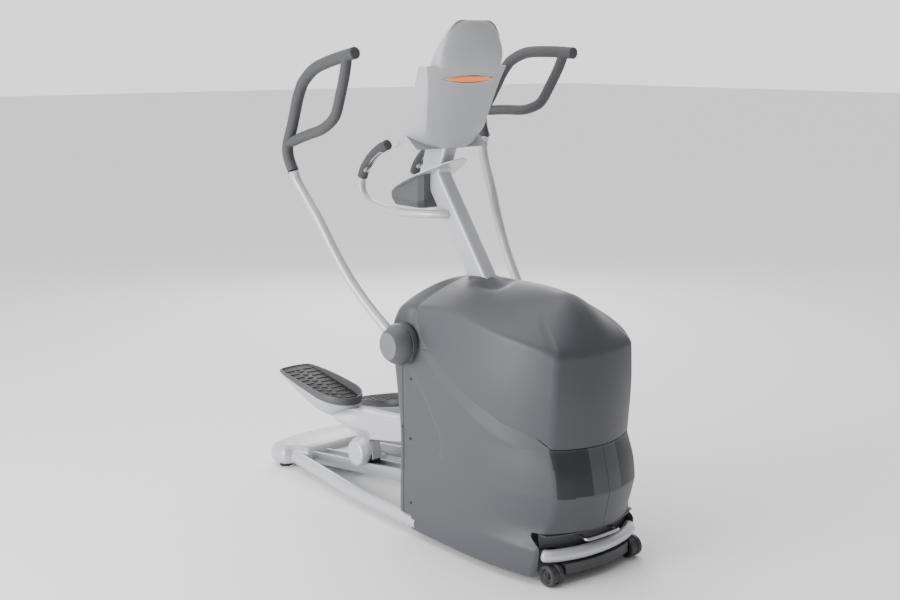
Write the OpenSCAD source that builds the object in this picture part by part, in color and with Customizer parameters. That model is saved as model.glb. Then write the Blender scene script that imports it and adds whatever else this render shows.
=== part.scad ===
// Front-drive elliptical trainer: one flywheel under moulded covers, two foot links that run
// on rollers along sloped rails, two swinging arms, a leaning mast and a console.
// +X is the user's left, +Y is towards the user at the rear, +Z is up.

/* [Covers] */
// Half width across the side covers
cover_hw = 272; // [240:1:330]
// Wall thickness of the moulded covers
cover_wall = 4; // [3:0.5:6]
// Height of the top cover above the floor
cover_top = 900; // [880:1:1000]
// Gap along the seams between two covers
seam_gap = 1; // [0.6:0.1:2]

/* [Drive] */
// Crank axle behind the transport wheel axle
crank_y = 205; // [195:1:230]
// Crank axle above the floor
crank_z = 516; // [500:1:540]
// Throw of each crank arm
crank_throw = 140; // [115:1:170]
// Diameter of the crank axle and of the arm shafts
shaft_d = 30; // [24:1:36]
// Radius of the large drive pulley
pulley_r = 150; // [125:1:165]
// Radius of the flywheel
flywheel_r = 120; // [98:1:128]
// Radius of the small pulley on the flywheel
small_pulley_r = 20; // [16:1:26]

/* [Foot links] */
// Length of each foot link from crank pin to roller axle
link_len = 872; // [725:1:1050]
// Distance of each foot link from the middle of the machine
foot_x = 120; // [112:1:135]
// Width of the foot beam
beam_w = 50; // [40:1:60]
// Roller radius
roller_r = 55; // [45:1:66]
// Roller width
roller_w = 40; // [33:1:48]
// Length of each pedal
pedal_len = 437; // [360:1:525]
// Width of each pedal
pedal_w = 189; // [160:1:215]

/* [Rails] */
// Fall of the rails towards the rear, in degrees
rail_slope = 7.86; // [6:0.1:9]
// Height that the roller track would have at the wheel axle
track_z0 = 251; // [245:1:275]
// Length of rail behind the right roller at rest
rail_tail = 350; // [290:1:430]

/* [Arms] */
// Arm pivot behind the transport wheel axle
hub_y = 632; // [620:1:640]
// Arm pivot above the floor
hub_z = 678; // [665:1:690]
// Diameter of the arm tubes
arm_d = 35; // [29:1:42]
// Diameter of the foam hand grips
grip_d = 40; // [36:1:48]
// Angle by which the left arm is ahead of the right one, in degrees
arm_lead = 12.7; // [8:0.1:16]
// Length of the rocker inside the covers
rocker_len = 238; // [200:1:250]

/* [Mast and console] */
// Width of the mast
mast_w = 50; // [42:1:60]
// Depth of the leaning part of the mast
mast_depth = 67; // [58:1:80]
// Lean of the mast, in degrees from upright
mast_lean = 36.5; // [34:0.5:38]
// Half width of the console at its shoulders
console_hw = 175; // [150:1:210]
// Height of the console above its lower edge
console_h = 431; // [400:1:500]

/* [Small parts] */
// Radius of the transport wheels
wheel_r = 34; // [28:1:35]
// Diameter of the bumper tube
bumper_d = 40; // [34:1:42]
// Travel of the console buttons
button_travel = 1.5; // [1:0.1:2]

/* [Hidden] */

$fn = 64;
RIGHT = -1;
LEFT = 1;
run_fit = 0.05;      // running fit between a shaft and its bearing, on the radius
body_gap = 0.3;      // gap between curved faces of two bodies that nearly touch
side_gap = 2;        // side clearance between a moving piece and its neighbour
plate_t = 10;        // frame plate thickness
tube_wall = 3;       // wall of the mast and of the box sections
eps = 0.5;           // how far a cut runs past the face it cuts

shaft_r = shaft_d / 2;

// Crank tower and the planes of the drive, measured out from the middle
belt_w = 14;
tower_x = 30;
rod_x = tower_x + plate_t + 6;
rod_t = 12;
rocker_x = rod_x + rod_t + side_gap;
rocker_t = 12;
beam_in = foot_x - beam_w / 2;
crank_arm_x = rod_x + rod_t + side_gap;
crank_arm_t = 16;
eccentric_off = 45;
eccentric_r = eccentric_off + shaft_r + 2;

// Roller axle line: z = axle_z0 - rail_rise * y
rail_rise = tan(rail_slope);
axle_z0 = track_z0 + roller_r / cos(rail_slope);
link_rise = 14.27;   // angle of the foot link against the level of its own pedal frame
function pin_z(side) = crank_z + side * crank_throw;
function line_q(side) = axle_z0 - pin_z(side);
function line_b(side) = crank_y + rail_rise * line_q(side);
function line_c(side) = crank_y * crank_y + line_q(side) * line_q(side) - link_len * link_len;
function roller_y(side) =
    (line_b(side) + sqrt(line_b(side) * line_b(side) - (1 + rail_rise * rail_rise) * line_c(side)))
    / (1 + rail_rise * rail_rise);
function axle_z(y) = axle_z0 - rail_rise * y;
function track_z(y) = track_z0 - rail_rise * y;
function link_angle(side) =
    atan2(pin_z(side) - axle_z(roller_y(side)), roller_y(side) - crank_y);
function foot_turn(side) = link_angle(side) - link_rise;

rail_end = roller_y(RIGHT) + rail_tail;
rail_w = roller_w + 30;
rail_wall = 9;
rail_lip = 16;
rail_floor = 29;
cross_y = 540;
cross_d = 40;
rail_start = cross_y + cross_d;

// Whole length, used to put the origin under the middle of the box
nose_y = -71;
front_sag = 52;
front_hw = 172;
stab_d = 220;
stab_rear = rail_end + stab_d;
mid_y = (nose_y + stab_rear) / 2;

bumper_end = [196, 24];
side_tube_d = 48;
side_tube_x = cover_hw - side_tube_d / 2 + 4;
side_tube_z = 48;

// ---------- shared shapes ----------

module along_x(x0, x1) {
    translate([x0, 0, 0]) rotate([90, 0, 90]) linear_extrude(x1 - x0) children();
}

module along_y(y0, y1) {
    translate([0, y1, 0]) rotate([90, 0, 0]) linear_extrude(y1 - y0) children();
}

module rod_x_axis(y, z, r, x0, x1) {
    translate([x0, y, z]) rotate([0, 90, 0]) cylinder(r = r, h = x1 - x0);
}

module both_sides() {
    children();
    mirror([1, 0, 0]) children();
}

module one_side(side) {
    if (side == RIGHT) children();
    else mirror([1, 0, 0]) children();
}

module block(low, high) {
    translate(low) cube(high - low);
}

function unit(v) = v / norm(v);
function pick(p, i) = p[max(0, min(len(p) - 1, i))];
function bend(a, b, c, d, t) =
    0.5 * (2 * b + (c - a) * t + (2 * a - 5 * b + 4 * c - d) * t * t
           + (3 * b - a - 3 * c + d) * t * t * t);
function smooth_path(p, n) = concat(
    [for (i = [0 : len(p) - 2]) for (k = [0 : n - 1])
        bend(pick(p, i - 1), p[i], p[i + 1], pick(p, i + 2), k / n)],
    [p[len(p) - 1]]);
function heading(p, i) = unit(pick(p, i + 1) - pick(p, i - 1));

// A round bar along a smooth path; ref is any direction that the path never takes
module bent_bar(points, d, ref, sides = 12, n = 4) {
    path = smooth_path(points, n);
    rings = len(path);
    skin = [for (i = [0 : rings - 1])
        let (t = heading(path, i), u = unit(cross(t, ref)), v = cross(t, u))
        for (k = [0 : sides - 1])
            path[i] + d / 2 * (cos(360 * k / sides) * u + sin(360 * k / sides) * v)];
    polyhedron(points = skin, faces = concat(
        [[for (k = [0 : sides - 1]) k]],
        [[for (k = [sides - 1 : -1 : 0]) (rings - 1) * sides + k]],
        [for (i = [0 : rings - 2]) for (k = [0 : sides - 1])
            [i * sides + k, (i + 1) * sides + k, (i + 1) * sides + (k + 1) % sides]],
        [for (i = [0 : rings - 2]) for (k = [0 : sides - 1])
            [i * sides + k, (i + 1) * sides + (k + 1) % sides, i * sides + (k + 1) % sides]]),
        convexity = 8);
}

// ---------- covers ----------

seam_nose_z = 425;
seam = [[0, 436], [60, 475], [150, 500], [228, 531], [326, 572], [427, 628], [490, 666], [558, 722],
        [600, 828]];
rear_seam_y = 640;

// Side view of the covers, less the wall when inset
module cover_side(inset) {
    offset(delta = -inset) polygon([
        [-30, 26], [-45, 169], [nose_y, 293], [-36, 420], [-17, 730], [30, 832], [100, 862],
        [170, cover_top], [460, cover_top], [600, cover_top - 12], [680, 826], [712, 785], [738, 715],
        [715, 600], [684, 330], [690, 75], [625, 26]]);
}

// Plan of the covers: a bowed nose, elliptical flanks and square rear corners
module cover_plan(inset) {
    half = concat(
        [for (i = [0 : 3]) [front_hw * i / 4, nose_y + front_sag * pow(i / 4, 2)]],
        [for (a = [0 : 15 : 90])
            [front_hw + (cover_hw - front_hw) * sin(a),
             nose_y + front_sag + (450 - nose_y - front_sag) * (1 - cos(a))]],
        [[cover_hw, 665], [cover_hw - 14, 705], [cover_hw - 50, 728], [0, 745]]);
    offset(delta = -inset) polygon(concat(half,
        [for (i = [len(half) - 2 : -1 : 1]) [-half[i][0], half[i][1]]]));
}

// Crown across the top
module cover_crown(inset) {
    crown_drop = 75;
    offset(delta = -inset) polygon(concat(
        [for (i = [-4 : 4]) [(cover_hw + 10) * i / 4, cover_top - crown_drop * pow(i / 4, 2)]],
        [[cover_hw + 10, -50], [-cover_hw - 10, -50]]));
}

module cover_form(inset) {
    intersection() {
        along_x(-cover_hw - 10, cover_hw + 10) cover_side(inset);
        translate([0, 0, -60]) linear_extrude(cover_top + 100) cover_plan(inset);
        along_y(-200, 900) cover_crown(inset);
    }
}

collar_r = 71;
slot_low = 110;
slot_high = 620;
slot_w = beam_w + 30;
nose_open_hw = bumper_end[0] + 22;

module cover_shell() {
    difference() {
        cover_form(0);
        cover_form(cover_wall);
        // open underside
        translate([0, 0, -10]) linear_extrude(90) cover_plan(cover_wall);
        // shaft hole in each side
        rod_x_axis(hub_y, hub_z, shaft_r + 10, -cover_hw - 20, cover_hw + 20);
        // nose opening for the bumper, the skirt and the wheels
        block([-nose_open_hw, -120, -10], [nose_open_hw, 60, 168]);
        // mast hole
        mast_body(3);
        both_sides() {
            block([foot_x - slot_w / 2, 600, slot_low], [foot_x + slot_w / 2, 800, slot_high]);
            translate([side_tube_x, cross_y + 20, side_tube_z]) rotate([-90, 0, 0])
                cylinder(r = side_tube_d / 2 + 2, h = 200);
            block([side_tube_x - side_tube_d / 2 - 2, cross_y + 20, -10],
                  [side_tube_x + side_tube_d / 2 + 2, 800, side_tube_z]);
        }
        screw_places() screw_hole();
    }
}

// Region in side view that the top cover takes
module top_region(shrink) {
    offset(delta = -shrink) polygon(concat([[-200, seam_nose_z]], seam, [[600, 1200], [-200, 1200]]));
}

module rear_region(shrink) {
    offset(delta = -shrink) polygon([[rear_seam_y, -60], [rear_seam_y, hub_z], seam[6], seam[7],
        seam[8], [600, 1200], [900, 1200], [900, -60]]);
}

module top_cover() color("slategray") {
    intersection() {
        cover_shell();
        along_x(-400, 400) top_region(seam_gap / 2);
    }
}

module rear_cover() color("dimgray") {
    intersection() {
        cover_shell();
        along_x(-400, 400) rear_region(seam_gap / 2);
    }
}

module shroud(side) color("slategray") {
    difference() {
        intersection() {
            cover_shell();
            if (side == RIGHT) block([-400, -200, -60], [-seam_gap / 2, 900, 1200]);
            else block([seam_gap / 2, -200, -60], [400, 900, 1200]);
        }
        along_x(-400, 400) top_region(-seam_gap / 2);
        along_x(-400, 400) rear_region(-seam_gap / 2);
    }
}

module right_shroud() { shroud(RIGHT); }
module left_shroud() { shroud(LEFT); }

// Screws through the flat rear part of each flank
screw_r = 2.5;
screw_spots = [[600, 120], [600, 350], [600, 560]];

module screw_places() {
    for (spot = screw_spots) {
        translate([-cover_hw, spot[0], spot[1]]) rotate([0, -90, 0]) children();
        translate([cover_hw, spot[0], spot[1]]) rotate([0, 90, 0]) children();
    }
}

module screw_hole() {
    translate([0, 0, -cover_wall - eps]) cylinder(r = screw_r + 0.2, h = cover_wall + 2 * eps);
}

module cover_screws() color("black") {
    screw_places() {
        cylinder(r = 2 * screw_r, h = 2);
        translate([0, 0, -12]) cylinder(r = screw_r, h = 12 + eps);
    }
}

module hub_collars() color("dimgray") {
    both_sides() difference() {
        rod_x_axis(hub_y, hub_z, collar_r, cover_hw + 0.1, cover_hw + 16);
        rod_x_axis(hub_y, hub_z, shaft_r + 8, cover_hw - eps, cover_hw + 17);
    }
}

// ---------- frame ----------

spine_out = 60;
spine_low = 50;
spine_high = 110;
front_cross_y = 20;
front_cross_d = 50;
post_y = 440;
post_d = 60;
carrier_low = 725;
carrier_h = 40;
carrier_y = hub_y - 32;
carrier_d = 50;
bush_t = 5;
bush_len = 15;
bush_in_x = rocker_x + rocker_t + 14;
bush_out_x = cover_hw - 37;
wheel_axle_z = wheel_r + 2;
wheel_in = 155;
wheel_w = 50;
wheel_axle_r = 6;
bearing_t = 11;

idler_r = 25;
belt_t = 4;
drive_low = [220, 200];
flywheel_span = [9, 27];
flywheel_axle_r = 10;
idler_axle_r = 6;

// Belt geometry: where the rear run leaves the pulleys, and the idler that presses on it
run_vec = [drive_low[0] - crank_y, drive_low[1] - crank_z];
run_len = norm(run_vec);
run_dir = run_vec / run_len;
run_cos = (pulley_r - small_pulley_r) / run_len;
run_out = run_cos * run_dir + sqrt(1 - run_cos * run_cos) * [-run_dir[1], run_dir[0]];
run_mid = ([crank_y, crank_z] + pulley_r * run_out + drive_low + small_pulley_r * run_out) / 2;
idler_at = run_mid + (belt_t + 2 * body_gap + idler_r) * run_out;

module crank_tower() {
    along_x(tower_x, tower_x + plate_t) polygon([
        [90, spine_low], [350, spine_low], [350, 340], [crank_y + 55, crank_z + 50],
        [crank_y - 55, crank_z + 50]]);
}

module base_frame() color("#3a3a3e") {
    difference() {
        union() {
            both_sides() {
                block([tower_x, front_cross_y, spine_low], [spine_out, rail_start, spine_high]);
                crank_tower();
                // saddle that carries the front end of each rail
                block([foot_x - rail_w / 2, cross_y, spine_low],
                      [foot_x + rail_w / 2, rail_start, track_z(rail_start) + rail_lip]);
                // bracket of the transport wheel
                block([wheel_in - 12, -12, wheel_axle_z - 12],
                      [wheel_in - 4, front_cross_y + 20, wheel_axle_z + wheel_r]);
                rod_x_axis(0, wheel_axle_z, wheel_axle_r, wheel_in - 5, wheel_in + wheel_w + 1);
                rod_x_axis(0, wheel_axle_z, 10, wheel_in + wheel_w + 1, wheel_in + wheel_w + 4);
                // bearing plates of the arm shafts
                for (x = [bush_in_x, bush_out_x])
                    block([x, hub_y - 30, hub_z - 30], [x + bush_len, hub_y + 18, carrier_low + 10]);
            }
            block([-wheel_in + 4, front_cross_y, spine_low],
                  [wheel_in - 4, front_cross_y + front_cross_d, spine_high - 10]);
            block([-side_tube_x - 14, cross_y, 30], [side_tube_x + 14, rail_start, 80]);
            block([-spine_out, post_y - 10, spine_low], [spine_out, post_y + post_d + 10, spine_high]);
            block([-mast_w / 2 + 1, post_y, spine_high - 1], [mast_w / 2 - 1, post_y + post_d, 745]);
            block([-mast_w / 2 + 1, post_y + post_d - 1, carrier_low],
                  [mast_w / 2 - 1, carrier_y + carrier_d, carrier_low + 20]);
            block([-bush_out_x - bush_len, carrier_y, carrier_low],
                  [bush_out_x + bush_len, carrier_y + carrier_d, carrier_low + carrier_h]);
            // fixed pin that the idler turns on
            rod_x_axis(idler_at[0], idler_at[1], idler_axle_r, -tower_x - 1, tower_x + 1);
        }
        both_sides() {
            rod_x_axis(crank_y, crank_z, shaft_r + bearing_t + run_fit, tower_x - 5, tower_x + plate_t + 5);
            rod_x_axis(drive_low[0], drive_low[1], flywheel_axle_r + run_fit, tower_x - 5,
                       tower_x + plate_t + 5);
            for (x = [bush_in_x, bush_out_x])
                rod_x_axis(hub_y, hub_z, shaft_r + bush_t + run_fit, x - 5, x + bush_len + 5);
        }
    }
}

module bearings() color("lightgray") {
    both_sides() {
        difference() {
            rod_x_axis(crank_y, crank_z, shaft_r + bearing_t, tower_x - 1, tower_x + plate_t + 1);
            rod_x_axis(crank_y, crank_z, shaft_r + run_fit, tower_x - 5, tower_x + plate_t + 5);
        }
        for (x = [bush_in_x, bush_out_x]) difference() {
            rod_x_axis(hub_y, hub_z, shaft_r + bush_t, x, x + bush_len);
            rod_x_axis(hub_y, hub_z, shaft_r + run_fit, x - 5, x + bush_len + 5);
        }
    }
}

module side_tubes() color("silver") {
    both_sides() bent_bar([
        [side_tube_x, rail_start, side_tube_z], [side_tube_x, 640, side_tube_z],
        [side_tube_x, 790, side_tube_z], [side_tube_x - 4, rail_end - 430, side_tube_z],
        [side_tube_x - 28, rail_end - 190, side_tube_z], [side_tube_x - 56, rail_end + 70, side_tube_z]],
        side_tube_d, [0, 0, 1], 16);
}

stab_hw = cover_hw - 22;
stab_h = 73;
stab_low = 17;

module stab_plan(inset) {
    offset(delta = -inset) polygon([
        [-rail_end_hw, rail_end], [rail_end_hw, rail_end], [stab_hw - 42, rail_end + 52],
        [stab_hw - 12, rail_end + 70], [stab_hw, rail_end + 100], [stab_hw, rail_end + 140],
        [stab_hw - 14, rail_end + 170], [stab_hw - 80, rail_end + 198], [0, stab_rear],
        [-stab_hw + 80, rail_end + 198], [-stab_hw + 14, rail_end + 170], [-stab_hw, rail_end + 140],
        [-stab_hw, rail_end + 100], [-stab_hw + 12, rail_end + 70], [-stab_hw + 42, rail_end + 52]]);
}

rail_end_hw = foot_x + rail_w / 2 + 10;

module rear_stabiliser() color("silver") {
    stab_wall = 4;
    difference() {
        union() {
            translate([0, 0, stab_low]) linear_extrude(stab_h) stab_plan(0);
            // bridge panel between the rails
            block([-foot_x + rail_w / 2 + 2, rail_end - 190, 40],
                  [foot_x - rail_w / 2 - 2, rail_end + 5, 62]);
        }
        translate([0, 0, stab_low - 1]) linear_extrude(stab_h - stab_wall + 1) difference() {
            stab_plan(stab_wall);
            for (s = [-1, 1]) translate([s * (stab_hw - 40), rail_end + 110]) circle(r = foot_r + 4);
        }
        both_sides() translate([stab_hw - 40, rail_end + 110, 0])
            cylinder(r = foot_r + run_fit, h = stab_low + foot_seat);
        both_sides() bent_bar([
            [side_tube_x - 4, rail_end - 430, side_tube_z],
            [side_tube_x - 28, rail_end - 190, side_tube_z],
            [side_tube_x - 56, rail_end + 71, side_tube_z]],
            side_tube_d + 1, [0, 0, 1], 16);
    }
}

module rail_side(z_low, z_high) {
    polygon([
        [rail_start, track_z(rail_start) + z_low], [rail_end, track_z(rail_end) + z_low],
        [rail_end, track_z(rail_end) + z_high], [rail_start, track_z(rail_start) + z_high]]);
}

module rails() color("silver") {
    groove = 3;
    both_sides() difference() {
        union() {
            along_x(foot_x - rail_w / 2, foot_x + rail_w / 2) rail_side(-rail_floor, 0);
            along_x(foot_x - rail_w / 2, foot_x - rail_w / 2 + rail_wall) rail_side(-1, rail_lip);
            along_x(foot_x + rail_w / 2 - rail_wall, foot_x + rail_w / 2) rail_side(-1, rail_lip);
        }
        // grooves along both outer faces
        along_x(foot_x + rail_w / 2 - groove, foot_x + rail_w / 2 + 1) rail_side(-14, -4);
        along_x(foot_x - rail_w / 2 - 1, foot_x - rail_w / 2 + groove) rail_side(-14, -4);
    }
}

foot_r = 22;
foot_seat = 20;

module rubber_feet() color("#222222") {
    both_sides() {
        translate([stab_hw - 40, rail_end + 110, 0]) cylinder(r = foot_r, h = stab_low + foot_seat);
        translate([120, front_cross_y + front_cross_d - 24, 0]) cylinder(r = foot_r, h = spine_low);
        translate([200, cross_y + 20, 0]) cylinder(r = foot_r - 3, h = 30);
    }
}

bumper_z = wheel_axle_z + wheel_r + 5 + bumper_d / 2;

module bumper_tube() color("silver") {
    bar_y = nose_y + 38;
    bent_bar([[-bumper_end[0], bumper_end[1], bumper_z], [-186, 10, bumper_z], [-150, -7, bumper_z],
        [-100, -22, bumper_z], [0, bar_y, bumper_z], [100, -22, bumper_z], [150, -7, bumper_z],
        [186, 10, bumper_z], [bumper_end[0], bumper_end[1], bumper_z]], bumper_d, [0, 0, 1], 16);
    both_sides() translate([60, bar_y + 8, bumper_z]) rotate([-90, 0, 0])
        cylinder(r = 8, h = front_cross_y - bar_y - 8);
}

skirt_hw = 142;
skirt_t = 5;

// Band that follows the bow of the nose, from one depth to another
module nose_band(y_front, y_back, hw, sag) {
    steps = 6;
    polygon(concat(
        [for (i = [-steps : steps]) [hw * i / steps, y_front + sag * pow(i / steps, 2)]],
        [for (i = [steps : -1 : -steps]) [hw * i / steps, y_back + sag * pow(i / steps, 2)]]));
}

module front_skirt() color("#333336") {
    wall_y = nose_y + 64;
    difference() {
        union() {
            translate([0, 0, wheel_axle_z + wheel_r + 3])
                linear_extrude(162 - wheel_axle_z - wheel_r - 3) nose_band(wall_y, wall_y + skirt_t, 196, 48);
            translate([0, 0, 157]) linear_extrude(skirt_t) nose_band(nose_y + 34, wall_y + 1, 196, 48);
            translate([0, 0, 34]) linear_extrude(spine_low - 16) nose_band(nose_y + 24, nose_y + 72, skirt_hw, 22);
            translate([0, 0, 66]) linear_extrude(8) nose_band(nose_y + 40, wall_y + 1, skirt_hw, 22);
        }
        both_sides() {
            translate([60, nose_y, bumper_z]) rotate([-90, 0, 0]) cylinder(r = 8.5, h = 200);
            translate([66, nose_y, rod_z]) rotate([-90, 0, 0]) cylinder(r = 6, h = 200);
        }
        translate([0, nose_y, inlet_z]) rotate([-90, 0, 0]) cylinder(r = inlet_r + run_fit, h = 200);
        // nothing of the skirt reaches into the cross member or the bumper
        block([-200, front_cross_y - 0.2, 0], [200, 200, spine_high + 1]);
        bent_bar([[-bumper_end[0], bumper_end[1], bumper_z], [-186, 10, bumper_z], [-150, -7, bumper_z],
            [-100, -22, bumper_z], [0, nose_y + 38, bumper_z], [100, -22, bumper_z],
            [150, -7, bumper_z], [186, 10, bumper_z], [bumper_end[0], bumper_end[1], bumper_z]],
            bumper_d + 2, [0, 0, 1], 12);
    }
}

rod_z = 138;
inlet_z = 145;
inlet_r = 8;

module lift_rod() color("gainsboro") {
    rod_y = nose_y + 22;
    bent_bar([[-66, nose_y + 74, rod_z], [-68, nose_y + 50, rod_z], [-71, rod_y + 8, rod_z],
        [-60, rod_y, rod_z], [0, rod_y - 2, rod_z], [60, rod_y, rod_z], [71, rod_y + 8, rod_z],
        [68, nose_y + 50, rod_z], [66, nose_y + 74, rod_z]], 11, [0, 0, 1], 10);
}

module power_inlet() color("black") {
    inlet_y = nose_y + 62;
    translate([0, inlet_y, inlet_z]) rotate([-90, 0, 0]) {
        difference() {
            union() {
                cylinder(r = inlet_r, h = 24);
                cylinder(r = inlet_r + 2, h = 1.8);
            }
            translate([0, 0, -1]) cylinder(r = 5, h = 16);
        }
        cylinder(r = 1.2, h = 20);
    }
}

// ---------- drive ----------

module flywheel_axle() color("silver") {
    rod_x_axis(drive_low[0], drive_low[1], flywheel_axle_r, -tower_x - plate_t - 3,
               tower_x + plate_t + 3);
}

module flywheel() color("#55585c") {
    difference() {
        union() {
            rod_x_axis(drive_low[0], drive_low[1], small_pulley_r, -belt_w / 2, belt_w / 2);
            rod_x_axis(drive_low[0], drive_low[1], small_pulley_r + 6, flywheel_span[0] - 2,
                       flywheel_span[1]);
            rod_x_axis(drive_low[0], drive_low[1], flywheel_r, flywheel_span[0], flywheel_span[1]);
        }
        rod_x_axis(drive_low[0], drive_low[1], flywheel_axle_r + run_fit, -20, 40);
        for (x = [flywheel_span[0] - 3, flywheel_span[1] - 5]) difference() {
            rod_x_axis(drive_low[0], drive_low[1], flywheel_r - 18, x, x + 8);
            rod_x_axis(drive_low[0], drive_low[1], small_pulley_r + 14, x - 1, x + 9);
        }
    }
}

module idler_pulley() color("dimgray") {
    difference() {
        rod_x_axis(idler_at[0], idler_at[1], idler_r, -belt_w / 2, belt_w / 2);
        rod_x_axis(idler_at[0], idler_at[1], idler_axle_r + run_fit, -20, 20);
    }
}

module belt_outline(grow) {
    hull() {
        translate([crank_y, crank_z]) circle(r = pulley_r + grow, $fn = 96);
        translate(drive_low) circle(r = small_pulley_r + grow, $fn = 32);
    }
}

module drive_belt() color("#1c1c1e") {
    along_x(-belt_w / 2 + 1, belt_w / 2 - 1) difference() {
        belt_outline(body_gap + belt_t);
        belt_outline(body_gap + 0.2);
    }
}

module brake_magnets() color("firebrick") {
    magnet_t = 5;
    disc_gap = 1.4;
    plate_x = flywheel_span[0] - disc_gap;
    back_y = drive_low[0] + flywheel_r + 6;
    block([plate_x - magnet_t, back_y - 36, drive_low[1] - 30], [plate_x, back_y + 8, drive_low[1] + 30]);
    block([-tower_x, back_y, drive_low[1] - 20], [plate_x, back_y + 8, drive_low[1]]);
}

module crank_axle() color("silver") {
    rod_x_axis(crank_y, crank_z, shaft_r, -crank_arm_x - crank_arm_t, crank_arm_x + crank_arm_t);
    // eccentrics that drive the arm links
    for (side = [RIGHT, LEFT])
        rod_x_axis(crank_y, crank_z + side * eccentric_off, eccentric_r,
                   side * (rod_x + rod_t / 2) - rod_t / 2, side * (rod_x + rod_t / 2) + rod_t / 2);
}

module crank_arm(side) {
    pin_r = 12;
    pin_end = beam_in - 1.5;
    boss_r = shaft_r + 12;
    mirror([side == RIGHT ? 1 : 0, 0, 0]) difference() {
        union() {
            along_x(crank_arm_x, crank_arm_x + crank_arm_t) hull() {
                translate([crank_y, crank_z]) circle(r = boss_r);
                translate([crank_y, pin_z(side)]) circle(r = pin_r + 10);
            }
            rod_x_axis(crank_y, pin_z(side), pin_r, crank_arm_x + crank_arm_t - 1, pin_end);
        }
        rod_x_axis(crank_y, crank_z, shaft_r + run_fit, crank_arm_x - 1, crank_arm_x + crank_arm_t + 1);
    }
}

module crank_arms() color("#4a4a4e") {
    crank_arm(RIGHT);
    crank_arm(LEFT);
}

module drive_pulley() color("#3c3c40") {
    spoke_hole_r = 28;
    difference() {
        union() {
            rod_x_axis(crank_y, crank_z, pulley_r, -belt_w / 2, belt_w / 2);
            rod_x_axis(crank_y, crank_z, shaft_r + 14, -18, 18);
        }
        rod_x_axis(crank_y, crank_z, shaft_r + run_fit, -30, 30);
        for (a = [0 : 60 : 300]) rod_x_axis(crank_y + (pulley_r - 50) * cos(a),
            crank_z + (pulley_r - 50) * sin(a), spoke_hole_r, -20, 20);
    }
}

// ---------- arm links ----------

rocker_swing = 15;   // how far forward each rocker leans at mid stroke, in degrees
function rocker_angle(side) = rocker_swing - side * arm_lead / 2;
function rocker_end(side) =
    [hub_y - rocker_len * sin(rocker_angle(side)), hub_z - rocker_len * cos(rocker_angle(side))];

module arm_link(side) color("#6a6c70") {
    ring_r = eccentric_r + 12;
    eye_r = 16;
    centre = [crank_y, crank_z + side * eccentric_off];
    mirror([side == RIGHT ? 1 : 0, 0, 0]) difference() {
        along_x(rod_x, rod_x + rod_t) difference() {
            union() {
                translate(centre) circle(r = ring_r);
                hull() {
                    translate(centre) circle(r = eye_r + 6);
                    translate(rocker_end(side)) circle(r = eye_r);
                }
            }
        }
        rod_x_axis(centre[0], centre[1], eccentric_r + run_fit, rod_x - 1, rod_x + rod_t + 1);
        rod_x_axis(rocker_end(side)[0], rocker_end(side)[1], 8, rod_x - 1, rod_x + rod_t + 1);
    }
}

module right_arm_link() { arm_link(RIGHT); }
module left_arm_link() { arm_link(LEFT); }

// ---------- swinging arms, drawn on the right with the pivot at the origin ----------

hub_x = cover_hw + 18;   // inner face of the moving hub
arm_x = hub_x + 22;      // middle of the arm tube at the hub

module at_hub(side) {
    one_side(side) translate([0, hub_y, hub_z]) rotate([side == LEFT ? arm_lead : 0, 0, 0]) children();
}

arm_path = [[-arm_x, 14, 18], [-arm_x - 3, 38, 49], [-arm_x - 14, 118, 109], [-arm_x - 25, 208, 187],
    [-arm_x - 36, 292, 282], [-arm_x - 46, 365, 380], [-arm_x - 57, 440, 469],
    [-arm_x - 67, 476, 520], [-arm_x - 76, 481, 551]];
grip_x = -arm_x - 76;
grip_loop = [[grip_x, 481, 551.5], [grip_x, 512, 595], [grip_x, 512, 641], [grip_x, 480, 712],
    [grip_x, 444, 799], [grip_x, 403, 861], [grip_x, 327, 909], [grip_x, 207, 940], [grip_x, 96, 960]];
grip_cross = [[grip_x, 499, 655], [grip_x, 430, 670], [grip_x, 367, 687], [grip_x, 274, 715],
    [grip_x, 213, 757], [grip_x, 182, 824], [grip_x, 157, 889], [grip_x, 139, 950]];

module arm(side) color("silver") {
    at_hub(side) {
        rod_x_axis(0, 0, shaft_r, -arm_x - 8, -rocker_x);
        rod_x_axis(0, 0, 36, -arm_x - 18, -hub_x - 4);
        bent_bar(arm_path, arm_d, [1, 0, 0], 12, 3);
        // rocker, level with the arm link inside the covers
        difference() {
            along_x(-rocker_x - rocker_t, -rocker_x) hull() {
                circle(r = shaft_r + 10);
                translate(-rocker_len * [sin(rocker_swing + arm_lead / 2),
                                         cos(rocker_swing + arm_lead / 2)]) circle(r = 18);
            }
            rod_x_axis(-rocker_len * sin(rocker_swing + arm_lead / 2),
                       -rocker_len * cos(rocker_swing + arm_lead / 2), 8,
                       -rocker_x - rocker_t - 1, -rocker_x + 1);
        }
    }
}

module right_arm() { arm(RIGHT); }
module left_arm() { arm(LEFT); }

module hand_grip(side) color("#4b4b50") {
    at_hub(side) {
        bent_bar(grip_loop, grip_d, [1, 0, 0], 12, 3);
        bent_bar(grip_cross, grip_d - 4, [1, 0, 0], 10, 2);
    }
}

module right_hand_grip() { hand_grip(RIGHT); }
module left_hand_grip() { hand_grip(LEFT); }

module hub_cap(side) color("#55565c") {
    cap_t = 52;
    slot = arm_d + 14;
    at_hub(side) difference() {
        translate([-hub_x, 0, 0]) rotate([0, -90, 0]) cylinder(r1 = collar_r, r2 = collar_r - 24, h = cap_t);
        rod_x_axis(0, 0, 37, -hub_x - cap_t + 6, -hub_x + 1);
        rotate([47, 0, 0]) translate([-hub_x - cap_t + 8, 0, -slot / 2]) cube([cap_t, 100, slot]);
    }
}

module right_hub_cap() { hub_cap(RIGHT); }
module left_hub_cap() { hub_cap(LEFT); }

// ---------- foot links, drawn on the right with the roller axle at the origin ----------

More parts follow.
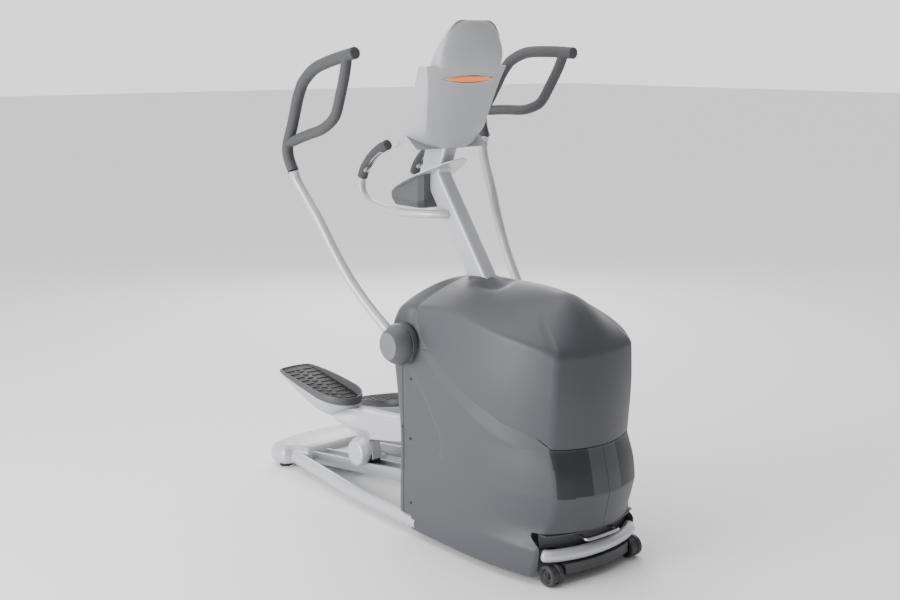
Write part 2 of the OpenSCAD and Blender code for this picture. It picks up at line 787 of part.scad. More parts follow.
roller_axle_r = 8;
cheek_t = 5;
cheek_gap = side_gap;
cheek_in = roller_w / 2 + cheek_gap;
pin_at = [-link_len * cos(link_rise), link_len * sin(link_rise)];
pedal_toe = [101, 140];
pedal_tilt = 10;
pedal_depth = 48;
floor_t = 4;
rim_t = 6;
mat_t = 3;

module at_foot(side) {
    one_side(side) translate([-foot_x, roller_y(side), axle_z(roller_y(side))])
        rotate([-foot_turn(side), 0, 0]) children();
}

module beam_side() {
    polygon([[108, 134], [60, 146], [-60, 156], [-179, 169], [pin_at[0] * 0.5, pin_at[1] + 10],
        [pin_at[0], pin_at[1] + 28], [pin_at[0] - 24, pin_at[1]], [pin_at[0], pin_at[1] - 28],
        [pin_at[0] * 0.5, pin_at[1] - 62], [-190, 95], [-24, 62], [70, 62], [112, 80]]);
}

module foot_beam(side) color("silver") {
    at_foot(side) difference() {
        union() {
            along_x(-beam_w / 2, beam_w / 2) beam_side();
            // fork around the roller
            for (x = [-cheek_in - cheek_t, cheek_in])
                along_x(x, x + cheek_t) hull() {
                    circle(r = 18);
                    translate([-30, 80]) circle(r = 10);
                    translate([40, 80]) circle(r = 10);
                }
        }
        // hollow box section, solid around the crank pin and over the fork
        along_x(-beam_w / 2 + tube_wall, beam_w / 2 - tube_wall) difference() {
            offset(delta = -tube_wall) beam_side();
            translate(pin_at) circle(r = 26);
        }
        rod_x_axis(0, 0, roller_axle_r + run_fit, -60, 60);
        // bearing bore for the crank pin
        rod_x_axis(pin_at[0], pin_at[1], 12.5, -beam_w, beam_w);
    }
}

module right_foot_beam() { foot_beam(RIGHT); }
module left_foot_beam() { foot_beam(LEFT); }

// Pedal plan: t runs from the toe to the heel
module pedal_plan(inset) {
    hw = pedal_w / 2;
    offset(delta = -inset) polygon(concat(
        [for (a = [-90 : 15 : 90]) [hw * sin(a) , hw * 1.35 * (1 - cos(a))]],
        [[hw * 0.97, pedal_len * 0.62], [hw * 0.84, pedal_len - 14], [0, pedal_len],
         [-hw * 0.84, pedal_len - 14], [-hw * 0.97, pedal_len * 0.62]]));
}

module at_pedal(side) {
    at_foot(side) translate([0, pedal_toe[0], pedal_toe[1]]) rotate([pedal_tilt, 0, 0]) children();
}

module rim_side(low, high_toe, high_heel) {
    polygon([[-20, low], [pedal_len + 20, low], [pedal_len + 20, high_heel],
        [pedal_len * 0.55, (high_toe + high_heel) * 0.56], [-20, high_toe]]);
}

module belly_side() {
    polygon([[-20, -pedal_depth + 12], [60, -pedal_depth], [160, -pedal_depth + 2],
        [320, -26], [pedal_len + 20, -3], [pedal_len + 20, 60], [-20, 60]]);
}

module pedal_shell(side) color("silver") {
    at_pedal(side) difference() {
        intersection() {
            translate([0, 0, -60]) linear_extrude(120) pedal_plan(0);
            along_x(-120, 120) belly_side();
            along_x(-120, 120) rim_side(-60, 34, 3);
        }
        translate([0, 0, -0.1]) linear_extrude(100) pedal_plan(3);
        // hollow underside around the beam
        difference() {
            translate([0, 20, -90]) linear_extrude(90 - floor_t) intersection() {
                pedal_plan(5);
                translate([-100, 22]) square([200, pedal_len - 90]);
            }
            along_x(-120, 120) polygon([[-30, -4], [pedal_len, -4], [pedal_len, -3.5],
                [pedal_len - 40, -8], [200, -24], [0, -24], [-30, -24]]);
        }
        // seat on the end of the beam
        rotate([-pedal_tilt, 0, 0]) translate([0, -pedal_toe[0], -pedal_toe[1]])
            along_x(-beam_w / 2 - 0.1, beam_w / 2 + 0.1) offset(delta = 0.1) beam_side();
    }
}

module right_pedal_shell() { pedal_shell(RIGHT); }
module left_pedal_shell() { pedal_shell(LEFT); }

module pedal_tray(side) color("#55565c") {
    at_pedal(side) difference() {
        intersection() {
            linear_extrude(100) pedal_plan(3.2);
            along_x(-120, 120) rim_side(-10, 44, 7);
        }
        translate([0, 0, floor_t]) linear_extrude(100) pedal_plan(rim_t + 3);
    }
}

module right_pedal_tray() { pedal_tray(RIGHT); }
module left_pedal_tray() { pedal_tray(LEFT); }

module pedal_mat(side) color("#2a2a2c") {
    ribs = 9;
    at_pedal(side) translate([0, 0, floor_t]) difference() {
        linear_extrude(mat_t) pedal_plan(rim_t + 5);
        for (i = [1 : ribs]) translate([-pedal_w, 60 + (pedal_len - 90) * i / ribs, mat_t - 1])
            cube([2 * pedal_w, 3, 3]);
    }
}

module right_pedal_mat() { pedal_mat(RIGHT); }
module left_pedal_mat() { pedal_mat(LEFT); }

module roller_cover(side) color("silver") {
    gap = 4;
    t = 3;
    inner = -cheek_in - cheek_t - 1;
    outer = -roller_w / 2 - 50;
    guard_in = -rail_w / 2 - 3;
    at_foot(side) difference() {
        union() {
            rod_x_axis(0, 0, 50, outer, guard_in);
            intersection() {
                rod_x_axis(0, 0, roller_r + gap + t, outer + 8, inner);
                block([outer, -100, -5], [0, 100, 100]);
            }
        }
        rod_x_axis(0, 0, roller_axle_r + 1, guard_in - 6, 10);
        rod_x_axis(0, 0, 44, guard_in - 8, 10);
    }
}

module right_roller_cover() { roller_cover(RIGHT); }
module left_roller_cover() { roller_cover(LEFT); }

module roller_axle(side) color("gray") {
    at_foot(side) rod_x_axis(0, 0, roller_axle_r, -cheek_in - cheek_t - 4, cheek_in + cheek_t + 4);
}

module right_roller_axle() { roller_axle(RIGHT); }
module left_roller_axle() { roller_axle(LEFT); }

module roller(side) color("#1e1e20") {
    at_foot(side) difference() {
        rod_x_axis(0, 0, roller_r - body_gap, -roller_w / 2, roller_w / 2);
        rod_x_axis(0, 0, roller_axle_r + run_fit, -roller_w, roller_w);
    }
}

module right_roller() { roller(RIGHT); }
module left_roller() { roller(LEFT); }

module wheel(side) color("#2b2b2d") {
    hub_wall = 6;
    one_side(side) difference() {
        rod_x_axis(0, wheel_axle_z, wheel_r, -wheel_in - wheel_w, -wheel_in);
        rod_x_axis(0, wheel_axle_z, wheel_axle_r + run_fit, -wheel_in - wheel_w - 1, -wheel_in + 1);
        difference() {
            rod_x_axis(0, wheel_axle_z, wheel_r - 6, -wheel_in - wheel_w - 1, -wheel_in - wheel_w + 12);
            rod_x_axis(0, wheel_axle_z, wheel_axle_r + hub_wall, -wheel_in - wheel_w - 2,
                       -wheel_in - wheel_w + 13);
        }
    }
}

module right_wheel() { wheel(RIGHT); }
module left_wheel() { wheel(LEFT); }

// ---------- mast, handlebar, tray and holder ----------

mast_foot = [464, 780];
lean_dir = [sin(mast_lean), cos(mast_lean)];
lean_out = [cos(mast_lean), -sin(mast_lean)];
mast_run = 530;
mast_bend = mast_foot + mast_run * lean_dir;
head_top = 1306;
head_front = mast_bend[0] - 68;
head_depth = 112;

module mast_side(grow) {
    offset(delta = grow) polygon([
        mast_foot - mast_depth / 2 * lean_out, mast_bend - mast_depth / 2 * lean_out,
        [head_front, head_top], [head_front + head_depth, head_top],
        [mast_bend[0] + 58, mast_bend[1] + 40], mast_bend + mast_depth / 2 * lean_out,
        mast_foot + mast_depth / 2 * lean_out]);
}

module mast_body(grow) {
    along_x(-mast_w / 2 - grow, mast_w / 2 + grow) mast_side(grow);
}

bar_d = 30;
bar_at = [mast_foot[0] + 384 * lean_dir[0], mast_foot[1] + 384 * lean_dir[1]];

module mast() color("silver") {
    neck_d = 34;
    difference() {
        union() {
            mast_body(0);
            block([-mast_w / 2, head_front + 22, head_top - 1],
                  [mast_w / 2, head_front + 22 + neck_d, head_top + 50]);
        }
        along_x(-mast_w / 2 + tube_wall, mast_w / 2 - tube_wall) difference() {
            mast_side(-tube_wall);
            translate(mast_foot) rotate(-mast_lean) translate([-100, mast_run + 60]) square([300, 300]);
        }
        // open foot
        along_x(-mast_w / 2 + tube_wall, mast_w / 2 - tube_wall) polygon([
            mast_foot - 20 * lean_dir - (mast_depth / 2 - tube_wall) * lean_out,
            mast_foot + 20 * lean_dir - (mast_depth / 2 - tube_wall) * lean_out,
            mast_foot + 20 * lean_dir + (mast_depth / 2 - tube_wall) * lean_out,
            mast_foot - 20 * lean_dir + (mast_depth / 2 - tube_wall) * lean_out]);
        rod_x_axis(bar_at[0], bar_at[1], bar_d / 2 + 1.2, -mast_w, mast_w);
    }
}

bar_hw = 120;
bar_path = [[-mast_w / 2 + tube_wall + 1, 0, 0], [-mast_w / 2 - 6, 2, 0], [-54, 26, 0], [-78, 70, -2],
    [-100, 180, -5], [-114, 310, 8], [-bar_hw, 368, 42], [-bar_hw, 388, 80], [-bar_hw, 380, 106]];
grip_path = [[-bar_hw, 380, 106.5], [-bar_hw, 356, 148], [-bar_hw, 318, 184], [-bar_hw, 270, 214],
    [-bar_hw, 224, 232]];

module at_bar() {
    both_sides() translate([0, bar_at[0], bar_at[1]]) children();
}

module fixed_handlebar() color("silver") {
    at_bar() {
        bent_bar(bar_path, bar_d, [1, -0.4, 1], 12, 3);
        rod_x_axis(0, 0, bar_d / 2 + 4, -mast_w / 2 - 3, -mast_w / 2 - 0.05);
    }
}

// Part of each pulse grip, on its hollow side, that carries the sensor plate
module pulse_pocket(grow) {
    grip_lean = 141;
    translate([-bar_hw, 318, 184]) rotate([grip_lean, 0, 0])
        block([-14 - grow, -62 - grow, 4 - grow], [14 + grow, 62 + grow, 60]);
}

module pulse_grips() color("#4b4b50") {
    at_bar() difference() {
        bent_bar(grip_path, bar_d + 8, [1, 0, 0], 12, 3);
        intersection() {
            difference() {
                bent_bar(grip_path, bar_d + 14, [1, 0, 0], 12, 3);
                bent_bar(grip_path, bar_d + 4, [1, 0, 0], 12, 3);
            }
            pulse_pocket(0.3);
        }
    }
}

module pulse_plates() color("lightgray") {
    at_bar() intersection() {
        difference() {
            bent_bar(grip_path, bar_d + 8, [1, 0, 0], 12, 3);
            bent_bar(grip_path, bar_d + 4.4, [1, 0, 0], 12, 3);
        }
        pulse_pocket(0);
    }
}

tray_tilt = 22.4;
tray_t = 4;
tray_rear = [1050, 1115];

module tray_plate() color("silver") {
    leaf = [[0, 0], [48, 60], [84, 130], [98, 200], [94, 260], [80, 310], [62, 370], [30, 425], [0, 440]];
    difference() {
        translate([0, tray_rear[0], tray_rear[1]]) rotate([-tray_tilt, 0, 0]) linear_extrude(tray_t)
            polygon([for (i = [0 : len(leaf) - 1]) [leaf[i][0], -leaf[i][1]],
                     for (i = [len(leaf) - 2 : -1 : 1]) [-leaf[i][0], -leaf[i][1]]]);
        mast_body(0.2);
        // opening above the bottle holder
        block([-holder_hw + 12, 838, 1000], [holder_hw - 12, 966, 1300]);
    }
}

holder_hw = 74;
holder_floor = 1100;

module holder_side(inset) {
    offset(delta = -inset) polygon([[770, holder_floor + 22], [800, holder_floor], [970, holder_floor],
        [985, holder_floor + 60], [985, 1300], [740, 1300], [740, holder_floor + 60]]);
}

module bottle_holder() color("#4a4b50") {
    wall = 4;
    difference() {
        along_x(-holder_hw, holder_hw) holder_side(0);
        along_x(-holder_hw + wall, holder_hw - wall) union() {
            intersection() {
                holder_side(wall);
                translate([820, holder_floor]) square([200, 300]);
            }
            translate([820, 1200]) square([161, 200]);
        }
        // everything above the tray plate goes
        translate([0, tray_rear[0], tray_rear[1]]) rotate([-tray_tilt, 0, 0])
            block([-200, -600, -0.2], [200, 300, 400]);
        mast_body(0.2);
        // clear of the mast's own bar
        at_bar() rod_x_axis(0, 0, bar_d / 2 + 6, -mast_w / 2 - 8, 0);
    }
}

// ---------- console ----------

console_low = 1313;
console_top = console_low + console_h;
head_y = head_front + 22;

module console_front_view(inset) {
    hood_hw = console_hw - 36;
    half = [[console_hw - 8, console_low + 2], [console_hw - 5, console_top - 170],
        [console_hw, console_top - 148], [console_hw - 34, console_top - 144],
        [hood_hw, console_top - 130], [hood_hw - 14, console_top - 73],
        [hood_hw - 36, console_top - 32], [hood_hw - 60, console_top - 6], [0, console_top]];
    offset(delta = -inset) polygon(concat(half,
        [for (i = [len(half) - 2 : -1 : 0]) [-half[i][0], half[i][1]]]));
}

module console_side(inset) {
    offset(delta = -inset) polygon([[690, console_low], [648, console_low + 123],
        [612, lens_z - 9], [608, lens_z + 12], [592, lens_z + 26], [578, lens_z + 70],
        [573, console_top - 70], [573, console_top], [592, console_top], [622, console_top - 94],
        [676, console_top - 154], [706, console_top - 214], [740, console_top - 278],
        [775, console_low + 48], [826, console_low]]);
}

lens_z = console_low + 238;
console_wall = 3;
plate_back = 16;

module console_back() color("silver") {
    difference() {
        intersection() {
            along_x(-260, 260) console_side(0);
            along_y(500, 900) console_front_view(0);
        }
        // hollow towards the user
        intersection() {
            along_x(-260, 260) translate([plate_back, 0]) console_side(console_wall);
            along_y(500, 900) console_front_view(console_wall);
        }
        // neck of the mast comes up through the underside
        block([-mast_w / 2 - 0.3, head_y - 0.3, console_low - 20],
              [mast_w / 2 + 0.3, head_y + 34.3, head_top + 62]);
        mast_body(0.2);
        // slot for the light lens
        block([-110, 560, lens_z - 8], [110, 640, lens_z + 8]);
        console_front_form(0.15);
    }
}

// Flat plate that faces the user, between the hood and the lower lip
module console_front_form(grow) {
    along_x(-console_hw + 14 - grow, console_hw - 14 + grow) offset(delta = grow) polygon([
        [684, 1570], [770, 1366], [764, 1363], [678, 1567]]);
}

plate_angle = 22.86;   // lean of the user's plate back from upright

module at_plate() {
    translate([0, 727, 1468]) rotate([plate_angle - 90, 0, 0]) children();
}

display_w = 190;
display_h = 110;
button_r = 11;
button_y = 78;

module button_spot(x) {
    translate([x, button_y, 0]) children();
}

module console_front() color("#2e2f33") {
    difference() {
        console_front_form(0);
        at_plate() {
            block([-display_w / 2 - 0.2, -display_h / 2 - 0.2, -3],
                  [display_w / 2 + 0.2, display_h / 2 + 0.2, 20]);
            for (x = [-40, 40]) button_spot(x) translate([0, 0, -20]) cylinder(r = button_r + 0.4, h = 60);
        }
    }
}

module display() color("#101418") {
    at_plate() block([-display_w / 2, -display_h / 2, -3], [display_w / 2, display_h / 2, 0.4]);
}

module button(x) {
    back = 8;
    at_plate() button_spot(x) {
        translate([0, 0, -back]) cylinder(r = button_r, h = back + 3 + button_travel);
        translate([0, 0, -back - 1]) cylinder(r = button_r + 2, h = 1.8);
    }
}

module start_button() color("seagreen") { button(-40); }
module stop_button() color("firebrick") { button(40); }

module light_lens() color("darkorange") {
    intersection() {
        block([-109.8, 600, lens_z - 7.8], [109.8, 618, lens_z + 7.8]);
        along_x(-200, 200) console_side(1);
    }
}

// ---------- the whole machine, with its origin under the middle of its box ----------

module placed() {
    translate([0, -mid_y, 0]) children();
}

placed() base_frame();
placed() side_tubes();
placed() rear_stabiliser();
placed() rails();
placed() bumper_tube();
placed() lift_rod();
placed() front_skirt();
placed() right_shroud();
placed() left_shroud();
placed() top_cover();
placed() rear_cover();
placed() mast();
placed() fixed_handlebar();
placed() pulse_grips();
placed() pulse_plates();
placed() console_back();
placed() console_front();
placed() display();
placed() light_lens();
placed() tray_plate();
placed() bottle_holder();
placed() rubber_feet();
placed() power_inlet();
placed() bearings();
placed() flywheel_axle();
placed() drive_belt();
placed() brake_magnets();
placed() cover_screws();
placed() hub_collars();
placed() crank_axle();
placed() crank_arms();
placed() drive_pulley();
placed() flywheel();
placed() idler_pulley();
placed() right_arm();
placed() left_arm();
placed() right_hand_grip();
placed() left_hand_grip();
placed() right_hub_cap();
placed() left_hub_cap();
placed() right_arm_link();
placed() left_arm_link();
placed() right_foot_beam();
placed() left_foot_beam();
placed() right_pedal_shell();
placed() left_pedal_shell();
placed() right_pedal_tray();
placed() left_pedal_tray();
placed() right_pedal_mat();
placed() left_pedal_mat();
placed() right_roller_cover();
placed() left_roller_cover();
placed() right_roller_axle();
placed() left_roller_axle();
placed() right_roller();
placed() left_roller();
placed() right_wheel();
placed() left_wheel();
placed() start_button();
placed() stop_button();
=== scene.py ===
import math

import bmesh
import bpy
from mathutils import Matrix, Vector


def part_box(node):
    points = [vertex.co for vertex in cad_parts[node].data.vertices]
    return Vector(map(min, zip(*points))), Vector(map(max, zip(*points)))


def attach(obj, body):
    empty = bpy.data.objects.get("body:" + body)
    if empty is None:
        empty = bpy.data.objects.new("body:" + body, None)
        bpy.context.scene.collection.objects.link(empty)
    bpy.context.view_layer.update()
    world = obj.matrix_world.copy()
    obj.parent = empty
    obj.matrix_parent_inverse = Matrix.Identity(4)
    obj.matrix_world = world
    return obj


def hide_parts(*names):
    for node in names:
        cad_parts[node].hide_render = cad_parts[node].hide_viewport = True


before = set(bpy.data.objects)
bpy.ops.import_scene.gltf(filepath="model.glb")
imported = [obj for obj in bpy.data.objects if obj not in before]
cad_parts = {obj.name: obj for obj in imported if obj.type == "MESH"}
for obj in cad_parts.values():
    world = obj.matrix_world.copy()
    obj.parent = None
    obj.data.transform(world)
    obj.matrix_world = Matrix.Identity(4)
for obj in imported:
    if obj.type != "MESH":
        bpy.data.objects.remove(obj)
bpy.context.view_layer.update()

# ---------- studio ----------
# The machine stands on a pale floor with a broad soft lamp on its right-hand side, one overhead
# and a weak one behind, and its front stays in shade. Heights are from the floor and every
# rearward distance is counted from the axle of the two transport wheels.
wheel_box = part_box("right_wheel")
AXLE_Y = (wheel_box[0][1] + wheel_box[1][1]) / 2


def at(x, y, z):
    """A point, with y counted rearward from the wheel axle."""
    return Vector((x, AXLE_Y + y, z))


def placed(name, data):
    """A new object of that data, linked into the scene."""
    piece = bpy.data.objects.new(name, data)
    bpy.context.scene.collection.objects.link(piece)
    return piece


camera_data = bpy.data.cameras.new("camera")
camera_data.lens = 49.4
camera = placed("camera", camera_data)
camera.location = at(-2.7285, -2.5915, 1.6531)
camera.rotation_euler = (math.radians(78.468), 0.0, math.radians(-39.5))
bpy.context.scene.camera = camera


def lamp(name, place, aim, size, power):
    """A square soft lamp of that size and power, turned to its aim."""
    light = bpy.data.lights.new(name, "AREA")
    light.shape = "SQUARE"
    light.size = size
    light.energy = power
    holder = placed(name, light)
    holder.location = place
    holder.rotation_euler = (aim - place).to_track_quat("-Z", "Y").to_euler()


waist = at(0, 0.6, 0.8)
lamp("side_lamp", at(-4.4, 0.9, 1.6), waist, 2.6, 200)
lamp("top_lamp", at(-0.2, 1.6, 4.6), waist, 3.0, 60)
lamp("back_lamp", at(2.6, 4.2, 2.4), waist, 2.4, 70)

world = bpy.data.worlds.new("studio")
world.use_nodes = True
sky, wire = world.node_tree.nodes, world.node_tree.links.new
direction = sky.new("ShaderNodeTexCoord")
axes = sky.new("ShaderNodeSeparateXYZ")
fade = sky.new("ShaderNodeValToRGB")
front_end, rear_end = fade.color_ramp.elements
front_end.color, front_end.position = (0.22, 0.22, 0.225, 1.0), 0.30
rear_end.color, rear_end.position = (1.0, 1.0, 1.0, 1.0), 0.62
rearward = sky.new("ShaderNodeMath")
rearward.operation = "MULTIPLY_ADD"
rearward.inputs[1].default_value = 0.5
rearward.inputs[2].default_value = 0.5
wire(direction.outputs["Generated"], axes.inputs["Vector"])
wire(axes.outputs["Y"], rearward.inputs[0])
wire(rearward.outputs["Value"], fade.inputs["Fac"])
wire(fade.outputs["Color"], sky["Background"].inputs["Color"])
sky["Background"].inputs["Strength"].default_value = 1.6
bpy.context.scene.world = world

floor_mesh = bpy.data.meshes.new("floor")
floor_mesh.from_pydata([(-40, -40, 0), (40, -40, 0), (40, 40, 0), (-40, 40, 0)], [], [(0, 1, 2, 3)])
floor = placed("floor", floor_mesh)
paper = bpy.data.materials.new("paper")
paper.use_nodes = True
paper_shader = paper.node_tree.nodes["Principled BSDF"]
paper_shader.inputs["Base Color"].default_value = (1.0, 1.0, 1.0, 1)
paper_shader.inputs["Roughness"].default_value = 0.9
floor_mesh.materials.append(paper)


# ---------- floor frame: black steel inside, silver tubes and housing outside ----------
# The welded steel frame carries every shaft. Two bent tubes run from its rear cross-member to
# the housing at the back, which is a moulded silver shell over a cross tube.
def finish(name, colour, roughness, metal=0.0, grain=700.0, bite=0.06, drift=0.08, streak=(1, 1, 1)):
    """A procedural material: tint and gloss drift slowly, and a fine grain roughens the skin."""
    material = bpy.data.materials.new(name)
    material.use_nodes = True
    tree = material.node_tree
    new, link = tree.nodes.new, tree.links.new
    shader = tree.nodes["Principled BSDF"]
    shader.inputs["Metallic"].default_value = metal
    place = new("ShaderNodeTexCoord")
    mapping = new("ShaderNodeMapping")
    mapping.inputs["Scale"].default_value = streak
    link(place.outputs["Object"], mapping.inputs["Vector"])
    cloud = new("ShaderNodeTexNoise")
    cloud.inputs["Scale"].default_value = 9.0
    link(mapping.outputs["Vector"], cloud.inputs["Vector"])
    ramp = new("ShaderNodeValToRGB")
    for end, factor in ((0, 1.0 - drift), (1, 1.0 + drift)):
        ramp.color_ramp.elements[end].color = tuple(min(c * factor, 1.0) for c in colour) + (1.0,)
    link(cloud.outputs["Fac"], ramp.inputs["Fac"])
    link(ramp.outputs["Color"], shader.inputs["Base Color"])
    gloss = new("ShaderNodeMapRange")
    gloss.inputs["To Min"].default_value = roughness - 0.05
    gloss.inputs["To Max"].default_value = roughness + 0.05
    link(cloud.outputs["Fac"], gloss.inputs["Value"])
    link(gloss.outputs["Result"], shader.inputs["Roughness"])
    speck = new("ShaderNodeTexNoise")
    speck.inputs["Scale"].default_value = grain
    link(mapping.outputs["Vector"], speck.inputs["Vector"])
    bump = new("ShaderNodeBump")
    bump.inputs["Strength"].default_value = bite
    bump.inputs["Distance"].default_value = 0.001
    link(speck.outputs["Fac"], bump.inputs["Height"])
    link(bump.outputs["Normal"], shader.inputs["Normal"])
    return material


def coat_node(node, material, slot):
    """A CAD node whose shape is right keeps it and only takes its finish."""
    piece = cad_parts[node]
    if not piece.material_slots:
        piece.data.materials.append(material)
    for spot in piece.material_slots:
        spot.material = material


def evaluated(piece):
    """The piece's mesh with its modifiers worked in, in place of both."""
    graph = bpy.context.evaluated_depsgraph_get()
    mesh = bpy.data.meshes.new_from_object(piece.evaluated_get(graph))
    piece.modifiers.clear()
    piece.data = mesh


def soften(piece, sharp=32.0):
    """Smooth shading, but for edges sharper than the angle."""
    piece.data.shade_smooth()
    piece.data.set_sharp_from_angle(angle=math.radians(sharp))


def assemble(name, verts, faces, material, sharp=38.0):
    """A mesh object at the origin, doubles merged and faces turned outwards."""
    mesh = bpy.data.meshes.new(name)
    mesh.from_pydata([tuple(v) for v in verts], [], faces)
    work = bmesh.new()
    work.from_mesh(mesh)
    bmesh.ops.remove_doubles(work, verts=work.verts, dist=1e-5)
    bmesh.ops.dissolve_degenerate(work, edges=work.edges, dist=1e-6)
    bmesh.ops.recalc_face_normals(work, faces=work.faces)
    work.to_mesh(mesh)
    work.free()
    piece = placed(name, mesh)
    mesh.materials.append(material)
    soften(piece, sharp)
    return piece


def fit(piece, body, slot, *nodes):
    """The piece rides its body and stands for the nodes; the slot is not used."""
    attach(piece, body)
    if nodes:
        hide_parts(*nodes)
    return piece


def eased(points, steps):
    """A smooth line through the points, with that many steps between two of them."""
    pts = [Vector(p) for p in points]
    pts = [2 * pts[0] - pts[1]] + pts + [2 * pts[-1] - pts[-2]]
    line = []
    for i in range(1, len(pts) - 2):
        a, b, c, d = pts[i - 1:i + 3]
        for k in range(steps):
            t = k / steps
            line.append(0.5 * (2 * b + (c - a) * t + (2 * a - 5 * b + 4 * c - d) * t * t
                               + (3 * b - a - 3 * c + d) * t ** 3))
    return line + [pts[-2]]


def skin(rings, cap_start=True, cap_end=True):
    """Vertices and faces of a hose of equal rings, with its ends closed."""
    count = len(rings[0])
    verts = [v for ring in rings for v in ring]
    faces = []
    for i in range(len(rings) - 1):
        for k in range(count):
            n = (k + 1) % count
            faces.append((i * count + k, i * count + n, (i + 1) * count + n, (i + 1) * count + k))
    if cap_start:
        faces.append(tuple(range(count)))
    if cap_end:
        faces.append(tuple(range((len(rings) - 1) * count, len(rings) * count)))
    return verts, faces


def joined(*parts):
    """Several lots of vertices and faces as one."""
    verts, faces = [], []
    for part_verts, part_faces in parts:
        base = len(verts)
        verts += part_verts
        faces += [tuple(base + i for i in face) for face in part_faces]
    return verts, faces


def full_turn(count):
    """That many evenly spaced angles of a whole turn."""
    return [2 * math.pi * k / count for k in range(count)]


def blunt(value, power):
    """A sine or cosine brought nearer to 1, so that a ring takes the form of a soft rectangle."""
    return math.copysign(abs(value) ** power, value)


def tube(path, radius, sides=24, domes=(0, 0)):
    """A round bar along a path of points; domes are the lengths of its rounded ends."""
    path = [Vector(p) for p in path]
    line = [(p, radius) for p in path]
    for end, dome in ((0, domes[0]), (-1, domes[1])):
        if not dome:
            continue
        inner = path[end]
        away = (path[0] - path[1] if end == 0 else path[-1] - path[-2]).normalized()
        turns = [math.radians(a) for a in (18, 36, 54, 70, 82)]
        cap = [(inner + away * dome * math.sin(a), radius * math.cos(a)) for a in turns]
        line = cap[::-1] + line if end == 0 else line + cap
    rings = []
    side = None
    for i, (point, r) in enumerate(line):
        along = (line[min(i + 1, len(line) - 1)][0] - line[max(i - 1, 0)][0]).normalized()
        if side is None:
            side = along.orthogonal().normalized()
        side = (side - along * side.dot(along)).normalized()
        up = along.cross(side)
        rings.append([point + r * (math.cos(a) * side + math.sin(a) * up) for a in full_turn(sides)])
    return skin(rings)


def turned(profile, centre, sides=48, sign=1):
    """A shape turned about a left-right axis from (distance out, radius) pairs."""
    rings = []
    for out, radius in profile:
        rings.append([Vector((sign * out, centre.y + radius * math.cos(a),
                              centre.z + radius * math.sin(a))) for a in full_turn(sides)])
    return skin(rings)


black_steel = finish("black_steel", (0.030, 0.031, 0.034), 0.45, metal=0.3, bite=0.10)
bare_steel = finish("bare_steel", (0.46, 0.46, 0.47), 0.32, metal=1.0, streak=(8, 1, 1))
silver_paint = finish("silver_paint", (0.54, 0.545, 0.57), 0.38, metal=0.35, grain=1500, bite=0.03,
                      drift=0.03)
for node, material, slot in (
    ("base_frame", black_steel, "black_steel"), ("crank_arms", black_steel, "black_steel"),
    ("right_arm_link", black_steel, "black_steel"), ("left_arm_link", black_steel, "black_steel"),
    ("crank_axle", bare_steel, "bare_steel"), ("flywheel_axle", bare_steel, "bare_steel"),
    ("right_roller_axle", bare_steel, "bare_steel"), ("left_roller_axle", bare_steel, "bare_steel"),
    ("lift_rod", bare_steel, "bare_steel"), ("pulse_plates", bare_steel, "bare_steel"),
):
    coat_node(node, material, slot)

tube_low, tube_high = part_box("side_tubes")
TUBE_R = (tube_high[2] - tube_low[2]) / 2
TUBE_Z = (tube_high[2] + tube_low[2]) / 2
tube_out = tube_high[0] - TUBE_R
tube_plan = [(tube_out, 0.58), (tube_out, 0.70), (tube_out, 0.80), (tube_out - 0.004, 0.97),
             (tube_out - 0.028, 1.21), (tube_out - 0.052, 1.44)]
for side, sign in (("right", -1), ("left", 1)):
    line = eased([at(sign * x, y, TUBE_Z) for x, y in tube_plan], 8)
    rail_tube = assemble(side + "_side_tube", *tube(line, TUBE_R, 32), silver_paint)
    fit(rail_tube, "root", "silver_paint", "side_tubes")

HOUSING_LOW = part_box("rear_stabiliser")[0][2]


def rounded_plan(half_plan, steps=4):
    """A closed outline from its right half, front centre first, eased and mirrored."""
    half = eased([(x, y, 0) for x, y in half_plan], steps)
    return [(p.x, p.y) for p in half] + [(-p.x, p.y) for p in half[-2:0:-1]]


def drawn_in(outline, inset):
    """The outline moved inwards by the inset, measured square to its edge."""
    moved = []
    count = len(outline)
    for i, (x, y) in enumerate(outline):
        ax, ay = outline[i - 1]
        bx, by = outline[(i + 1) % count]
        dx, dy = bx - ax, by - ay
        length = math.hypot(dx, dy) or 1.0
        moved.append((x - dy / length * inset, y + dx / length * inset))
    return moved


housing_half = [(0, 1.392), (0.150, 1.394), (0.182, 1.414), (0.208, 1.452), (0.238, 1.470),
                (0.249, 1.500), (0.249, 1.540), (0.234, 1.572), (0.170, 1.598), (0.085, 1.614),
                (0, 1.619)]
housing_plan = rounded_plan(housing_half)
rings = []
for lift, inset in ((0.0, 0.014), (0.002, 0.006), (0.008, 0.001), (0.020, 0.0), (0.040, 0.001),
                    (0.053, 0.005), (0.061, 0.011), (0.067, 0.018), (0.071, 0.026), (0.073, 0.036)):
    rings.append([at(x, y, HOUSING_LOW + lift) for x, y in drawn_in(housing_plan, inset)])
housing = assemble("rear_housing", *skin(rings), silver_paint, 50)
fit(housing, "root", "silver_paint", "rear_stabiliser")

BRIDGE_HALF, BRIDGE_FRONT, BRIDGE_REAR = 0.083, 1.215, 1.400
bridge_plan = [(-BRIDGE_HALF, BRIDGE_FRONT), (BRIDGE_HALF, BRIDGE_FRONT),
               (BRIDGE_HALF, BRIDGE_REAR), (-BRIDGE_HALF, BRIDGE_REAR)]
bridge = [[at(x, y, height) for x, y in drawn_in(bridge_plan, inset)]
          for height, inset in ((0.040, 0.004), (0.043, 0.001), (0.058, 0.001), (0.062, 0.006))]
bridge_panel = assemble("bridge_panel", *skin(bridge), silver_paint)
fit(bridge_panel, "root", "silver_paint")


